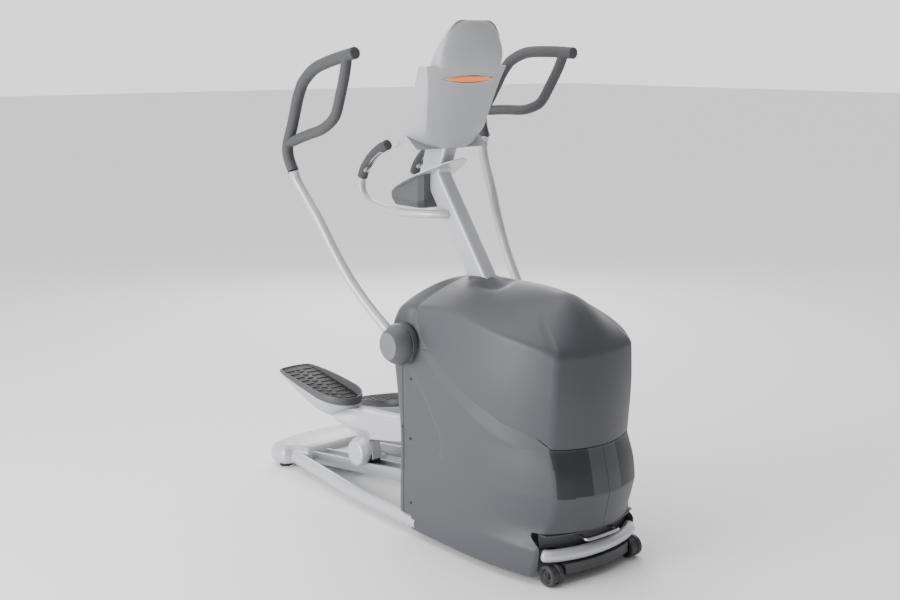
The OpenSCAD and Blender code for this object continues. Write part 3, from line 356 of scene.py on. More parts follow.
# ---------- wheels, feet and front bumper ----------
# Two cast transport wheels turn on bolts at the nose, and a bent silver bar with rounded ends
# wraps the nose above them. Moulded rubber feet stand the frame off the floor.
black_rubber = finish("black_rubber", (0.022, 0.022, 0.023), 0.72, grain=500, bite=0.15)
cast_wheel = finish("cast_wheel", (0.040, 0.041, 0.044), 0.50, metal=0.2, grain=400, bite=0.12)
dark_trim = finish("dark_trim", (0.045, 0.046, 0.050), 0.50, grain=900, bite=0.10)
coat_node("rubber_feet", black_rubber, "black_rubber")
coat_node("front_skirt", dark_trim, "dark_trim")
coat_node("power_inlet", dark_trim, "dark_trim")

WHEEL_R = (wheel_box[1][2] - wheel_box[0][2]) / 2
WHEEL_Z = (wheel_box[1][2] + wheel_box[0][2]) / 2
wheel_in, wheel_out = -wheel_box[1][0], -wheel_box[0][0]
wheel_profile = [
    (wheel_in + 0.003, 0.008), (wheel_in + 0.003, 0.022), (wheel_in, 0.025), (wheel_in, WHEEL_R - 0.003),
    (wheel_in + 0.003, WHEEL_R), (wheel_in + 0.016, WHEEL_R), (wheel_in + 0.018, WHEEL_R - 0.003),
    (wheel_out - 0.018, WHEEL_R - 0.003), (wheel_out - 0.016, WHEEL_R), (wheel_out - 0.003, WHEEL_R),
    (wheel_out, WHEEL_R - 0.003), (wheel_out, 0.025), (wheel_out - 0.003, 0.022),
    (wheel_out - 0.008, 0.018), (wheel_out - 0.008, 0.008)]
for side, sign in (("right", -1), ("left", 1)):
    hub = at(0, 0, WHEEL_Z)
    wheel = assemble(side + "_transport_wheel", *turned(wheel_profile, hub, 56, sign), cast_wheel, 30)
    fit(wheel, side + "_wheel", "cast_wheel", side + "_wheel")
    nut = turned([(wheel_out - 0.010, 0.009), (wheel_out - 0.003, 0.009), (wheel_out - 0.001, 0.0075),
                  (wheel_out - 0.001, 0.002)], hub, 6, sign)
    fit(assemble(side + "_wheel_nut", *nut, bare_steel, 20), "root", "bare_steel")

bumper_low, bumper_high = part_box("bumper_tube")
BUMPER_R = (bumper_high[2] - bumper_low[2]) / 2
bumper_z = (bumper_high[2] + bumper_low[2]) / 2
bumper_half = [(0.0, -0.033), (0.055, -0.030), (0.10, -0.022), (0.15, -0.007), (0.182, 0.008),
               (0.193, 0.020)]
bumper_line = eased([at(-x, y, bumper_z) for x, y in bumper_half[::-1]]
                    + [at(x, y, bumper_z) for x, y in bumper_half[1:]], 6)
bumper = assemble("nose_bumper", *tube(bumper_line, BUMPER_R, 32, (0.012, 0.012)), silver_paint)
fit(bumper, "root", "silver_paint", "bumper_tube")


# ---------- rails ----------
# Two extruded aluminium channels, anodised, that the pedal rollers run along. Their saw-cut
# ends sit in the housing at the back.
rail_aluminium = finish("rail_aluminium", (0.50, 0.51, 0.53), 0.34, metal=0.85, grain=260, bite=0.05,
                        drift=0.05, streak=(14, 0.4, 14))
coat_node("rails", rail_aluminium, "rail_aluminium")


# ---------- covers ----------
# Four injection-moulded shells hide the drive: a right and a left shroud that meet at the nose,
# a top cover that overlaps them along a sweeping seam, and a rear cover. All are spark-textured
# plastic about 4 mm thick, screwed to the frame.
def through(points, t, corners=()):
    """The value at t of a smooth line through (t, value) points; it may bend at the corners."""
    if t <= points[0][0]:
        return points[0][1]
    if t >= points[-1][0]:
        return points[-1][1]
    i = max(k for k in range(len(points) - 1) if points[k][0] <= t)

    def slope(k):
        """The straight slope from point k to the next."""
        return (points[k + 1][1] - points[k][1]) / (points[k + 1][0] - points[k][0])

    def tangent(k):
        """The slope of the smooth line at point k, level where the points turn back."""
        if k in corners or k == 0 or k == len(points) - 1:
            return slope(i)
        before, after = slope(k - 1), slope(k)
        return 0.0 if before * after <= 0 else 2 * before * after / (before + after)

    (ta, va), (tb, vb) = points[i], points[i + 1]
    span = tb - ta
    u = (t - ta) / span
    return ((2 * u ** 3 - 3 * u ** 2 + 1) * va + (u ** 3 - 2 * u ** 2 + u) * span * tangent(i)
            + (3 * u ** 2 - 2 * u ** 3) * vb + (u ** 3 - u ** 2) * span * tangent(i + 1))


HALF_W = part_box("left_shroud")[1][0]
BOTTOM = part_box("right_shroud")[0][2]
HUB_Y, HUB_Z = 0.632, 0.678
WALL = 0.004
GAP = 0.0026
FULL_W_Y = 0.450        # where the flank reaches its full width
REAR_SEAM_Y = 0.640
REAR_SEAM_Z = 0.672
ROOF_SEAM_Y = 0.598
CORNER_R = 0.045
CORNER_BEFORE, CORNER_AFTER = 0.07, 0.03     # how much of s the front corner is rounded over

# (height, half width) and (height, rearward place) of the front corner, then of the nose line
corner_x = [(0.026, 0.226), (0.115, 0.221), (0.142, 0.203), (0.181, 0.186), (0.230, 0.179),
            (0.344, 0.177), (0.436, 0.173), (0.617, 0.171), (0.735, 0.165)]
corner_y = [(0.026, 0.040), (0.115, 0.021), (0.181, 0.015), (0.230, -0.003), (0.285, -0.018),
            (0.344, -0.011), (0.430, 0.017), (0.617, 0.003), (0.735, 0.002)]
nose_y = [(0.026, -0.030), (0.169, -0.045), (0.205, -0.053), (0.285, -0.071), (0.355, -0.056),
          (0.430, -0.035), (0.570, -0.033), (0.660, -0.026), (0.735, -0.017)]
back_y = [(0.026, 0.625), (0.075, 0.690), (0.330, 0.684), (0.600, 0.715), (0.715, 0.736),
          (0.785, 0.712), (0.826, 0.680)]
spine_z = [(0.17, 0.893), (0.30, 0.899), (0.46, 0.897), (0.60, 0.884)]
shoulder_z = [(0.0, 0.730), (1.0, 0.737), (1.10, 0.752), (1.43, 0.785), (1.93, 0.820), (2.4, 0.815),
              (3.0, 0.800), (4.0, 0.783), (5.0, 0.780)]
seam_line = [(-0.20, 0.424), (0.0, 0.436), (0.06, 0.468), (0.15, 0.500), (0.228, 0.531),
             (0.326, 0.572), (0.427, 0.628), (0.49, 0.667), (0.558, 0.722), (0.598, 0.812)]
swoosh_line = [(0.016, 0.405), (0.113, 0.431), (0.234, 0.476), (0.425, 0.572), (0.536, 0.650),
               (0.60, 0.700)]
hollow_line = [(0.300, 0.508), (0.320, 0.458), (0.355, 0.434), (0.395, 0.445), (0.465, 0.490),
               (0.541, 0.546), (0.620, 0.615)]


def smooth_step(t):
    """An eased run from 0 to 1."""
    t = min(max(t, 0.0), 1.0)
    return t * t * (3 - 2 * t)


def flank_dip(y, z):
    """How far the moulded shapes of a shroud's flank are pressed in at that place."""
    seam = through(seam_line, y)
    if z > seam:
        return 0.0
    low = through(swoosh_line, y)
    fade = smooth_step((y + 0.02) / 0.12)
    band = 0.010 * min(max((z - low) / max(seam - low, 0.02), 0.0), 1.0) * fade
    behind = y - through(hollow_line, z)
    hollow = 0.0
    if 0.29 < z < 0.63 and behind > -0.004:
        reach = smooth_step((z - 0.29) / 0.08) * smooth_step((0.63 - z) / 0.10)
        hollow = 0.005 * smooth_step((behind + 0.004) / 0.008) * (1 - smooth_step(behind / 0.17)) * reach
    dimple = 0.006 * math.exp(-((y - 0.452) / 0.020) ** 2 - ((z - 0.322) / 0.008) ** 2)
    return band + hollow + dimple


def wall_raw(s, z):
    """A place on the wall: s is 0 at the nose, 1 at the front corner, 2 at full width, 3 to 4
    round the rear corner and 5 at the back."""
    cx, cy, ny = (through(line, z, bends) for line, bends in
                  ((corner_x, ()), (corner_y, (4, 6)), (nose_y, (3, 5))))
    wide = HALF_W - 0.026 * max((z - 0.56) / 0.26, 0.0) ** 2
    back = through(back_y, z)
    if s <= 1:
        x, y = s * cx, ny + (cy - ny) * s * s
        return x, y
    if s <= 2:
        w = s - 1
        y = cy + (FULL_W_Y - cy) * w
        return cx + (wide - cx) * (1 - (1 - w) ** 3) - flank_dip(y, z) * smooth_step(w / 0.03), y
    if s <= 3:
        y = FULL_W_Y + (back - CORNER_R - FULL_W_Y) * (s - 2)
        return wide - flank_dip(y, z) * (1 - smooth_step((y - 0.60) / 0.04)), y
    if s <= 4:
        a = (s - 3) * math.pi / 2
        return wide - CORNER_R * (1 - math.cos(a)), back - CORNER_R * (1 - math.sin(a))
    return (wide - CORNER_R) * (5 - s), back + 0.006 * (s - 4)


def wall(s, z, before=CORNER_BEFORE, after=CORNER_AFTER):
    """The wall with its front corner rounded off over that much of s before and after it."""
    if not 1 - before < s < 1 + after:
        x, y = wall_raw(s, z)
    else:
        a = (s - 1 + before) / (before + after)
        (x0, y0), (x1, y1), (x2, y2) = wall_raw(1 - before, z), wall_raw(1, z), wall_raw(1 + after, z)
        x = (1 - a) ** 2 * x0 + 2 * a * (1 - a) * x1 + a * a * x2
        y = (1 - a) ** 2 * y0 + 2 * a * (1 - a) * y1 + a * a * y2
    return Vector((x, AXLE_Y + y, z))


def roof(s, t):
    """A point of the crowned top, t running from the shoulder to the spine."""
    rim = wall(s, through(shoulder_z, s))
    y = rim.y - AXLE_Y
    front = through(nose_y, shoulder_z[0][1])
    if y < ROOF_SEAM_Y:
        target = spine_z[0][0] + (y - front) * (ROOF_SEAM_Y - spine_z[0][0]) / (ROOF_SEAM_Y - front)
    else:
        target = ROOF_SEAM_Y + (y - ROOF_SEAM_Y) * 0.08
    top = at(0, target, through(spine_z, target))
    soft_rim = wall(s, through(shoulder_z, s), 0.80, 0.45)
    point = rim.lerp(soft_rim, smooth_step(t / 0.45)).lerp(top, t)
    crown = 2.25 - 0.65 * smooth_step((s - 0.2) / 1.3) + 0.5 * smooth_step((s - 2.6) / 0.8)
    point.z = rim.z + (top.z - rim.z) * (1 - max(1 - t, 0.0) ** crown)
    scoop = math.exp(-((point.x - 0.050) / 0.040) ** 2 - ((point.y - AXLE_Y - 0.43) / 0.060) ** 4)
    point.z -= 0.024 * scoop
    return point


def column(s, low, high=None, rows=60, roof_rows=26, edge=0.014):
    """Points up the wall from low to high; without high, on over the shoulder to the spine."""
    if high is not None:
        return [wall(s, low + (high - low) * i / rows) for i in range(rows + 1)]
    shoulder = through(shoulder_z, s)
    start = min(low, shoulder - edge)
    points = [wall(s, start + (shoulder - edge - start) * i / rows) for i in range(rows + 1)]
    reach = (wall(s, shoulder).xy - roof(s, 1).xy).length
    a, b, c = points[-1], wall(s, shoulder), roof(s, edge / reach)
    for i in range(1, 7):
        u = i / 6
        points.append((1 - u) ** 2 * a + 2 * u * (1 - u) * b + u * u * c)
    begin = edge / reach
    return points + [roof(s, begin + (1 - begin) * i / roof_rows) for i in range(1, roof_rows + 1)]


def sheet_of(columns, mirror):
    """Faces between neighbouring columns of points, on the left or mirrored to the right."""
    sign = -1 if mirror else 1
    rows = len(columns[0])
    verts = [Vector((sign * p.x, p.y, p.z)) for line in columns for p in line]
    faces = []
    for i in range(len(columns) - 1):
        for k in range(rows - 1):
            a = i * rows + k
            face = (a, a + rows, a + rows + 1, a + 1)
            faces.append(face[::-1] if mirror else face)
    return verts, faces


def stations(start, end, density=(26, 58, 26, 8, 22)):
    """Values of s from start to end, closer together where the wall turns faster."""
    marks = [start]
    for leg, count in enumerate(density):
        marks += [leg + i / count for i in range(count + 1) if start < leg + i / count < end]
    fine = [1 - CORNER_BEFORE + (CORNER_BEFORE + CORNER_AFTER) * i / 8 for i in range(9)]
    marks += [m for m in fine if start < m < end]
    return sorted(set(round(m, 5) for m in marks)) + [end]


def s_at(y, z):
    """The s on the straight flank whose wall is at that rearward place."""
    if y < FULL_W_Y:
        cy = through(corner_y, z, (4, 6))
        return 1 + (y - cy) / (FULL_W_Y - cy)
    return 2 + (y - FULL_W_Y) / (through(back_y, z) - CORNER_R - FULL_W_Y)


def y_at(s, z):
    """The rearward place of the wall at s and z."""
    return wall_raw(s, z)[1]


def thin_shell(name, verts, faces, material, thickness, merge=False):
    """A sheet thickened inwards to a moulded wall, its patches merged first if asked."""
    mesh = bpy.data.meshes.new(name)
    mesh.from_pydata([tuple(v) for v in verts], [], faces)
    if merge:
        work = bmesh.new()
        work.from_mesh(mesh)
        bmesh.ops.remove_doubles(work, verts=work.verts, dist=2e-5)
        bmesh.ops.dissolve_degenerate(work, edges=work.edges, dist=1e-5)
        work.to_mesh(mesh)
        work.free()
    piece = placed(name, mesh)
    mesh.materials.append(material)
    thicken = piece.modifiers.new("wall", "SOLIDIFY")
    thicken.thickness = thickness
    thicken.offset = -1
    evaluated(piece)
    return piece


def shelled(name, columns_by_patch, mirrors, material):
    """A moulded shell of the cover's wall thickness from patches of columns."""
    verts, faces = joined(*[sheet_of(columns, mirror) for columns in columns_by_patch
                            for mirror in mirrors])
    return thin_shell(name, verts, faces, material, WALL, merge=True)


def box_solid(low, high):
    """A plain block between two corners."""
    x0, y0, z0 = low
    x1, y1, z1 = high
    ring = [(x0, y0), (x1, y0), (x1, y1), (x0, y1)]
    return skin([[at(x, y, z0) for x, y in ring], [at(x, y, z1) for x, y in ring]])


def carve(piece, *solids):
    """The piece less the solids."""
    verts, faces = joined(*solids)
    cutter = assemble("cutter", verts, faces, black_steel)
    cut = piece.modifiers.new("cut", "BOOLEAN")
    cut.operation = "DIFFERENCE"
    cut.solver = "MANIFOLD"
    cut.object = cutter
    evaluated(piece)
    mesh = cutter.data
    bpy.data.objects.remove(cutter)
    bpy.data.meshes.remove(mesh)


cover_plastic = finish("cover_plastic", (0.060, 0.061, 0.072), 0.46, grain=1300, bite=0.10, drift=0.03)
# Near-black painted shade for the lower front facets of the shrouds, which lie in shade.
painted_shade_panel = finish("painted_shade_panel", (0.012, 0.012, 0.014), 0.42, grain=1300, bite=0.05, drift=0.03)

beam_low, beam_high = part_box("left_foot_beam")
BEAM_X = (beam_high[0] + beam_low[0]) / 2
BEAM_HALF_W = (beam_high[0] - beam_low[0]) / 2
SLOT_HALF, SLOT_LOW, SLOT_HIGH = 0.040, 0.11, 0.62
CUT_FRONT, CUT_REAR = 0.60, 0.80             # the cuts through the back run between these
# The painted shade on each shroud's front lies between the first two half widths and above the height.
PAINTED_SHADE_IN, PAINTED_SHADE_OUT, PAINTED_SHADE_LOW = 0.060, 0.176, 0.287
nose_opening = box_solid((-0.216, -0.12, -0.01), (0.216, 0.06, 0.166))
openings = [box_solid((sign * BEAM_X - SLOT_HALF, CUT_FRONT, SLOT_LOW),
                      (sign * BEAM_X + SLOT_HALF, CUT_REAR, SLOT_HIGH)) for sign in (-1, 1)]
tube_ways = [box_solid((sign * tube_out - TUBE_R - 0.002, CUT_FRONT, -0.02),
                       (sign * tube_out + TUBE_R + 0.004, CUT_REAR, TUBE_Z + TUBE_R + 0.002))
             for sign in (-1, 1)]

SHROUD_ROWS, LOW_ROWS = 96, 60
last = s_at(REAR_SEAM_Y - GAP / 2, REAR_SEAM_Z / 2)
for side, mirror in (("right", True), ("left", False)):
    columns = []
    for s in stations(0.004, last):
        high = min(through(seam_line, y_at(s, 0.5)), REAR_SEAM_Z) - GAP / 2
        line = []
        for i in range(SHROUD_ROWS + 1):
            z = BOTTOM + (high - BOTTOM) * i / SHROUD_ROWS
            stretch = 1.0
            if s > 2:
                stretch = (s_at(REAR_SEAM_Y - GAP / 2, z) - 2) / (last - 2)
            line.append(wall(s if s <= 2 else 2 + (s - 2) * stretch, z))
        columns.append(line)
    shroud = shelled(side + "_shroud_shell", [columns], [mirror], cover_plastic)
    carve(shroud, nose_opening, *tube_ways)
    # Painted shade: the lower front faces of each shroud take the near-black material, standing in for
    # the shade on these facets.
    shroud.data.materials.append(painted_shade_panel)
    for face in shroud.data.polygons:
        c = face.center
        if c.y < AXLE_Y + 0.03 and PAINTED_SHADE_IN < abs(c.x) < PAINTED_SHADE_OUT and c.z > PAINTED_SHADE_LOW:
            face.material_index = 1
    soften(shroud)
    fit(shroud, "root", "cover_plastic", side + "_shroud")

columns = []
for s in stations(0.0, s_at(ROOF_SEAM_Y - GAP / 2, 0.81)):
    columns.append(column(s, through(seam_line, y_at(s, 0.5)) + GAP / 2))
top_shell = shelled("top_shell", [columns], [True, False], cover_plastic)
soften(top_shell)
fit(top_shell, "root", "cover_plastic", "top_cover")

rear_split = s_at(REAR_SEAM_Y + GAP / 2, REAR_SEAM_Z)
wedge, upper, lower = [], [], []
for s in stations(s_at(0.497, REAR_SEAM_Z), s_at(ROOF_SEAM_Y, 0.81)):
    y = y_at(s, 0.75)
    high = max(min(through(seam_line, y), 0.80) - GAP / 2, REAR_SEAM_Z + 1e-4)
    wedge.append(column(s, REAR_SEAM_Z, high, 30))
for s in stations(s_at(ROOF_SEAM_Y, 0.81), 5.0):
    upper.append(column(s, REAR_SEAM_Z))
for s in stations(rear_split, 5.0):
    line = []
    for i in range(LOW_ROWS + 1):
        z = BOTTOM + 0.04 + (REAR_SEAM_Z - BOTTOM - 0.04) * i / LOW_ROWS
        begin = s_at(REAR_SEAM_Y + GAP / 2, z)
        moved = s if s >= 3 else begin + (s - rear_split) * (3 - begin) / (3 - rear_split)
        line.append(wall(moved, z))
    lower.append(line)
rear_shell = shelled("rear_shell", [wedge, upper, lower], [True, False], cover_plastic)
carve(rear_shell, *openings, *tube_ways)
soften(rear_shell)
fit(rear_shell, "root", "cover_plastic", "rear_cover")

FLANGE = 0.012
FLANGE_IN = WALL + 0.0015


def set_in(s, z, depth):
    """A point of the wall moved inwards, square to it."""
    here, there = wall(max(s - 0.01, 0.0), z), wall(min(s + 0.01, 5.0), z)
    run = there - here
    square = Vector((-run.y, run.x, 0.0)).normalized()
    return wall(s, z) + depth * square


flange_parts = []
for mirror in (True, False):
    strip = []
    for s in stations(0.0, s_at(ROOF_SEAM_Y - 0.004, 0.78)):
        middle = through(seam_line, y_at(s, 0.5))
        strip.append([set_in(s, middle + k * FLANGE, FLANGE_IN) for k in (-1, 0, 1)])
    flange_parts.append(sheet_of(strip, mirror))
    strip = []
    for s in stations(s_at(0.500, REAR_SEAM_Z), s_at(REAR_SEAM_Y + FLANGE, REAR_SEAM_Z)):
        strip.append([set_in(s, REAR_SEAM_Z + k * FLANGE, FLANGE_IN) for k in (-1, 0, 1)])
    flange_parts.append(sheet_of(strip, mirror))
    strip = []
    for y in (REAR_SEAM_Y - FLANGE, REAR_SEAM_Y, REAR_SEAM_Y + FLANGE):
        strip.append([set_in(s_at(y, z), z, FLANGE_IN)
                      for z in (0.09 + (REAR_SEAM_Z - 0.09) * i / 40 for i in range(41))])
    flange_parts.append(sheet_of(strip, mirror))
    strip = [[set_in(s, z, FLANGE_IN) for z in (0.18 + 0.24 * i / 30 for i in range(31))]
             for s in (0.0, 0.04, 0.08)]
    flange_parts.append(sheet_of(strip, mirror))
flanges = thin_shell("seam_flanges", *joined(*flange_parts), dark_trim, 0.001)
soften(flanges)
fit(flanges, "root", "dark_trim")


# ---------- hub collars and caps ----------
# Each arm shaft leaves the covers through a moulded collar, and a tapered cap with a flat
# lighter disc turns with the arm outside it.
cap_plastic = finish("cap_plastic", (0.075, 0.077, 0.088), 0.46, grain=1300, bite=0.08, drift=0.03)
disc_plastic = finish("disc_plastic", (0.15, 0.153, 0.165), 0.42, grain=1300, bite=0.06, drift=0.03)
hub = at(0, HUB_Y, HUB_Z)
COLLAR_R = 0.071
cap_low, cap_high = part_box("left_hub_cap")
cap_in, cap_out = cap_low[0], cap_high[0]
collar_profile = [(HALF_W - 0.004, 0.026), (HALF_W - 0.004, COLLAR_R), (cap_in - 0.005, COLLAR_R),
                  (cap_in - 0.002, COLLAR_R - 0.003), (cap_in - 0.002, 0.026)]
cap_profile = [(cap_in, 0.030), (cap_in, COLLAR_R - 0.002), (cap_in + 0.002, COLLAR_R),
               (cap_in + 0.014, COLLAR_R - 0.001), (cap_in + 0.030, 0.063), (cap_out - 0.008, 0.053),
               (cap_out - 0.003, 0.048), (cap_out - 0.003, 0.002)]
disc_profile = [(cap_out - 0.006, 0.002), (cap_out - 0.006, 0.046), (cap_out - 0.001, 0.046),
                (cap_out, 0.0445), (cap_out, 0.002)]
for side, sign in (("right", -1), ("left", 1)):
    collar = assemble(side + "_hub_collar", *turned(collar_profile, hub, 64, sign), cap_plastic, 30)
    fit(collar, "root", "dark_trim", "hub_collars")
    cap = assemble(side + "_cap", *turned(cap_profile, hub, 64, sign), cap_plastic, 30)
    fit(cap, side + "_arm", "dark_trim", side + "_hub_cap")
    disc = assemble(side + "_cap_disc", *turned(disc_profile, hub, 64, sign), disc_plastic, 30)
    fit(disc, side + "_arm", "dark_trim")


# ---------- swinging arms ----------
# A bent steel tube, painted silver, swings with the shaft through the covers and ends in a loop
# of foam-covered grip. The rocker inside hangs from the same shaft.
grip_foam = finish("grip_foam", (0.060, 0.061, 0.066), 0.68, grain=420, bite=0.28, drift=0.05)
ARM_LEAD = {"right": 0.0, "left": 12.7}      # the left arm stands further forward at rest
ARM_X, GRIP_X = 0.312, 0.388
ARM_R, SHAFT_R, BOSS_R, LOOP_R, CROSS_R = 0.0175, 0.015, 0.034, 0.020, 0.018
ROCKER_LEN, ROCKER_LEAN, ROCKER_T = 238.0, 21.35, 0.012
arm_path = [(ARM_X, 14, 18), (0.315, 38, 49), (0.326, 118, 109), (0.337, 208, 187), (0.348, 292, 282),
            (0.358, 365, 380), (0.369, 440, 469), (0.379, 476, 520), (GRIP_X, 481, 553)]
loop_path = [(481, 551), (497, 573), (512, 602), (513, 641), (480, 712), (444, 799), (424, 835),
             (398, 866), (327, 909), (207, 940), (96, 960)]
bar_path = [(505, 650), (470, 658), (430, 670), (367, 687), (310, 701), (260, 722), (213, 757),
            (182, 824), (157, 889), (142, 946)]
for side, sign in (("right", -1), ("left", 1)):
    swing = Matrix.Translation(hub) @ Matrix.Rotation(math.radians(ARM_LEAD[side]), 4, "X")

    def on_arm(x, y, z):
        """A place on the arm: x from the middle of the machine, y and z in mm from the shaft."""
        return swing @ Vector((sign * x, y / 1000, z / 1000))

    link_x = min(abs(x) for x in (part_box(side + "_arm")[0][0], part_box(side + "_arm")[1][0]))
    bent = tube(eased([on_arm(*p) for p in arm_path], 8), ARM_R, 32)
    shaft = tube([on_arm(link_x, 0, 0), on_arm(ARM_X + 0.008, 0, 0)], SHAFT_R, 32)
    boss = tube([on_arm(cap_in + 0.004, 0, 0), on_arm(ARM_X + 0.018, 0, 0)], BOSS_R, 32)
    lean = math.radians(ROCKER_LEAN)
    pin_y, pin_z = -ROCKER_LEN * math.sin(lean), -ROCKER_LEN * math.cos(lean)
    rocker = []
    for inset_x in (0.0, ROCKER_T):
        rim = []
        for k in range(24):
            a = 2 * math.pi * k / 24 - lean
            end_r, cy, cz = (25, 0, 0) if math.sin(a + lean) >= 0 else (18, pin_y, pin_z)
            rim.append(on_arm(link_x + inset_x, cy + end_r * math.cos(a), cz + end_r * math.sin(a)))
        rocker.append(rim)
    arm = assemble(side + "_arm_tube", *joined(bent, shaft, boss, skin(rocker)), silver_paint)
    fit(arm, side + "_arm", "silver_paint", side + "_arm")
    grip = joined(tube(eased([on_arm(GRIP_X, y, z) for y, z in loop_path], 7), LOOP_R, 32, (0, 0.003)),
                  tube(eased([on_arm(GRIP_X, y, z) for y, z in bar_path], 5), CROSS_R, 32))
    foam = assemble(side + "_foam_grip", *grip, grip_foam, 50)
    fit(foam, side + "_arm", "grip_foam", side + "_hand_grip")


# ---------- foot links ----------
# A steel box beam runs from each crank pin back to a roller that rides on its rail, and the
# pedal sits on the tail of the beam. A faceted silver guard covers the outside of the roller.
crank_low, crank_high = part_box("crank_axle")
CRANK_Y = (crank_low[1] + crank_high[1]) / 2 - AXLE_Y
CRANK_Z = (crank_low[2] + crank_high[2]) / 2
THROW = 0.140
CHEEK_T, CHEEK_GAP = 0.005, 0.002
HOOD_R, HOOD_T = 0.0620, 0.0032         # the curved band of the guard over its roller
FACET = math.radians(30)
LINK_RISE = 14.27       # degrees between the line of the pins and the level of the pedal frame
roller_rubber = finish("roller_rubber", (0.030, 0.030, 0.032), 0.60, grain=300, bite=0.12)

beam_side = [(0.108, 0.134), (0.060, 0.146), (-0.060, 0.156), (-0.179, 0.169), (-0.420, 0.225),
             (-0.800, 0.243), (-0.845, 0.243), (-0.869, 0.215), (-0.845, 0.187), (-0.420, 0.150),
             (-0.190, 0.095), (-0.024, 0.062), (0.070, 0.062), (0.112, 0.080)]
# rearward place, half width, underside and top of the flare that meets the pedal shell
neck_rows = [(-0.090, 0.0245, 0.098, 0.154), (-0.040, 0.0270, 0.080, 0.153),
             (0.010, 0.0380, 0.074, 0.149), (0.050, 0.0540, 0.078, 0.142),
             (0.085, 0.0680, 0.088, 0.134), (0.110, 0.0740, 0.096, 0.130)]
fork_side = [(-0.018, 0.0), (-0.012, -0.013), (0.0, -0.018), (0.012, -0.013), (0.018, 0.0),
             (0.046, 0.072), (0.040, 0.090), (-0.030, 0.090), (-0.039, 0.072)]


def slab(outline, x0, x1, place, bevel=0.0):
    """A plate cut to a side-view outline between two planes, its long edges drawn in by a bevel."""
    rings = []
    for x, inset in ((x0, bevel), (x0 + bevel * 0.4, bevel * 0.3), (x0 + bevel, 0.0),
                     (x1 - bevel, 0.0), (x1 - bevel * 0.4, bevel * 0.3), (x1, bevel)):
        rings.append([place(x, y, z) for y, z in drawn_in(outline[::-1], inset)])
    return skin(rings)


foot_place, foot_turn = {}, {}
for side, sign in (("right", -1), ("left", 1)):
    roller_low, roller_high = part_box(side + "_roller")
    axle = Vector([(a + b) / 2 for a, b in zip(roller_low, roller_high)])
    roller_r = (roller_high[2] - roller_low[2]) / 2
    half_roller = (roller_high[0] - roller_low[0]) / 2
    climb = math.atan2(CRANK_Z + sign * THROW - axle.z, axle.y - AXLE_Y - CRANK_Y)
    foot_turn[side] = climb - math.radians(LINK_RISE)
    stance = Matrix.Translation(axle) @ Matrix.Rotation(-foot_turn[side], 4, "X")

    def on_foot(x, y, z, stance=stance, way=sign):
        """A place on the foot link, from its roller axle, with the link level."""
        return stance @ Vector((way * x, y, z))

    foot_place[side] = on_foot
    body = slab(beam_side, -BEAM_HALF_W, BEAM_HALF_W, on_foot, 0.007)
    cheeks = [slab(fork_side, x, x + CHEEK_T, on_foot, 0.0015)
              for x in (-half_roller - CHEEK_GAP - CHEEK_T, half_roller + CHEEK_GAP)]
    neck = []
    for y, half_w, low, high in neck_rows:
        ring = []
        for a in full_turn(32):
            ring.append(on_foot(half_w * blunt(math.cos(a), 0.5), y + 0.02 * (math.sin(a) + 1),
                                (low + high) / 2 + (high - low) / 2 * blunt(math.sin(a), 0.5)))
        neck.append(ring)
    beam = assemble(side + "_link_beam", *joined(body, skin(neck), *cheeks), silver_paint, 25)
    fit(beam, side + "_foot", "silver_paint", side + "_foot_beam")

    tread = [(-half_roller, 0.009), (-half_roller, roller_r - 0.008),
             (-half_roller + 0.005, roller_r - 0.001), (-half_roller + 0.007, roller_r),
             (-0.002, roller_r), (0.0, roller_r - 0.001), (0.002, roller_r),
             (half_roller - 0.007, roller_r), (half_roller - 0.005, roller_r - 0.001),
             (half_roller, roller_r - 0.008), (half_roller, 0.009)]
    rings = [[axle + Vector((out, r * math.cos(a), r * math.sin(a)))
              for a in full_turn(48)] for out, r in tread]
    tyre = assemble(side + "_tyre", *skin(rings), roller_rubber, 30)
    fit(tyre, side + "_roller", "roller_rubber", side + "_roller")

    guard_low, guard_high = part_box(side + "_roller_cover")
    guard_in = min(abs(guard_low[0]), abs(guard_high[0])) - abs(axle.x)
    guard_out = max(abs(guard_low[0]), abs(guard_high[0])) - abs(axle.x)
    rings = []
    for out, upper, lower in ((guard_in, 0.060, 0.040), (guard_in + 0.002, 0.062, 0.047),
                              (guard_in + 0.014, 0.062, 0.050), (guard_in + 0.024, 0.058, 0.050),
                              (guard_out - 0.010, 0.052, 0.050), (guard_out - 0.003, 0.049, 0.048),
                              (guard_out, 0.044, 0.043)):
        ring = []
        for a in full_turn(40):
            lift = smooth_step((math.sin(a) + 0.25) / 0.6)
            r = lower + (upper - lower) * lift
            facet = math.cos(FACET / 2) / math.cos((a + FACET / 2) % FACET - FACET / 2)
            r *= 0.35 + 0.65 * facet
            ring.append(on_foot(out, r * math.cos(a), r * math.sin(a)))
        rings.append(ring)
    arc = [math.radians(-14 + 208 * k / 24) for k in range(25)]
    band_side = ([(HOOD_R * math.cos(a), HOOD_R * math.sin(a)) for a in arc]
                 + [((HOOD_R - HOOD_T) * math.cos(a), (HOOD_R - HOOD_T) * math.sin(a))
                    for a in arc[::-1]])
    band = skin([[on_foot(x, y, z) for y, z in band_side]
                 for x in (guard_in + 0.004, guard_in - 0.002, half_roller - 0.030)])
    guard = assemble(side + "_roller_guard", *joined(skin(rings), band), silver_paint, 24)
    fit(guard, side + "_foot", "silver_paint", side + "_roller_cover")


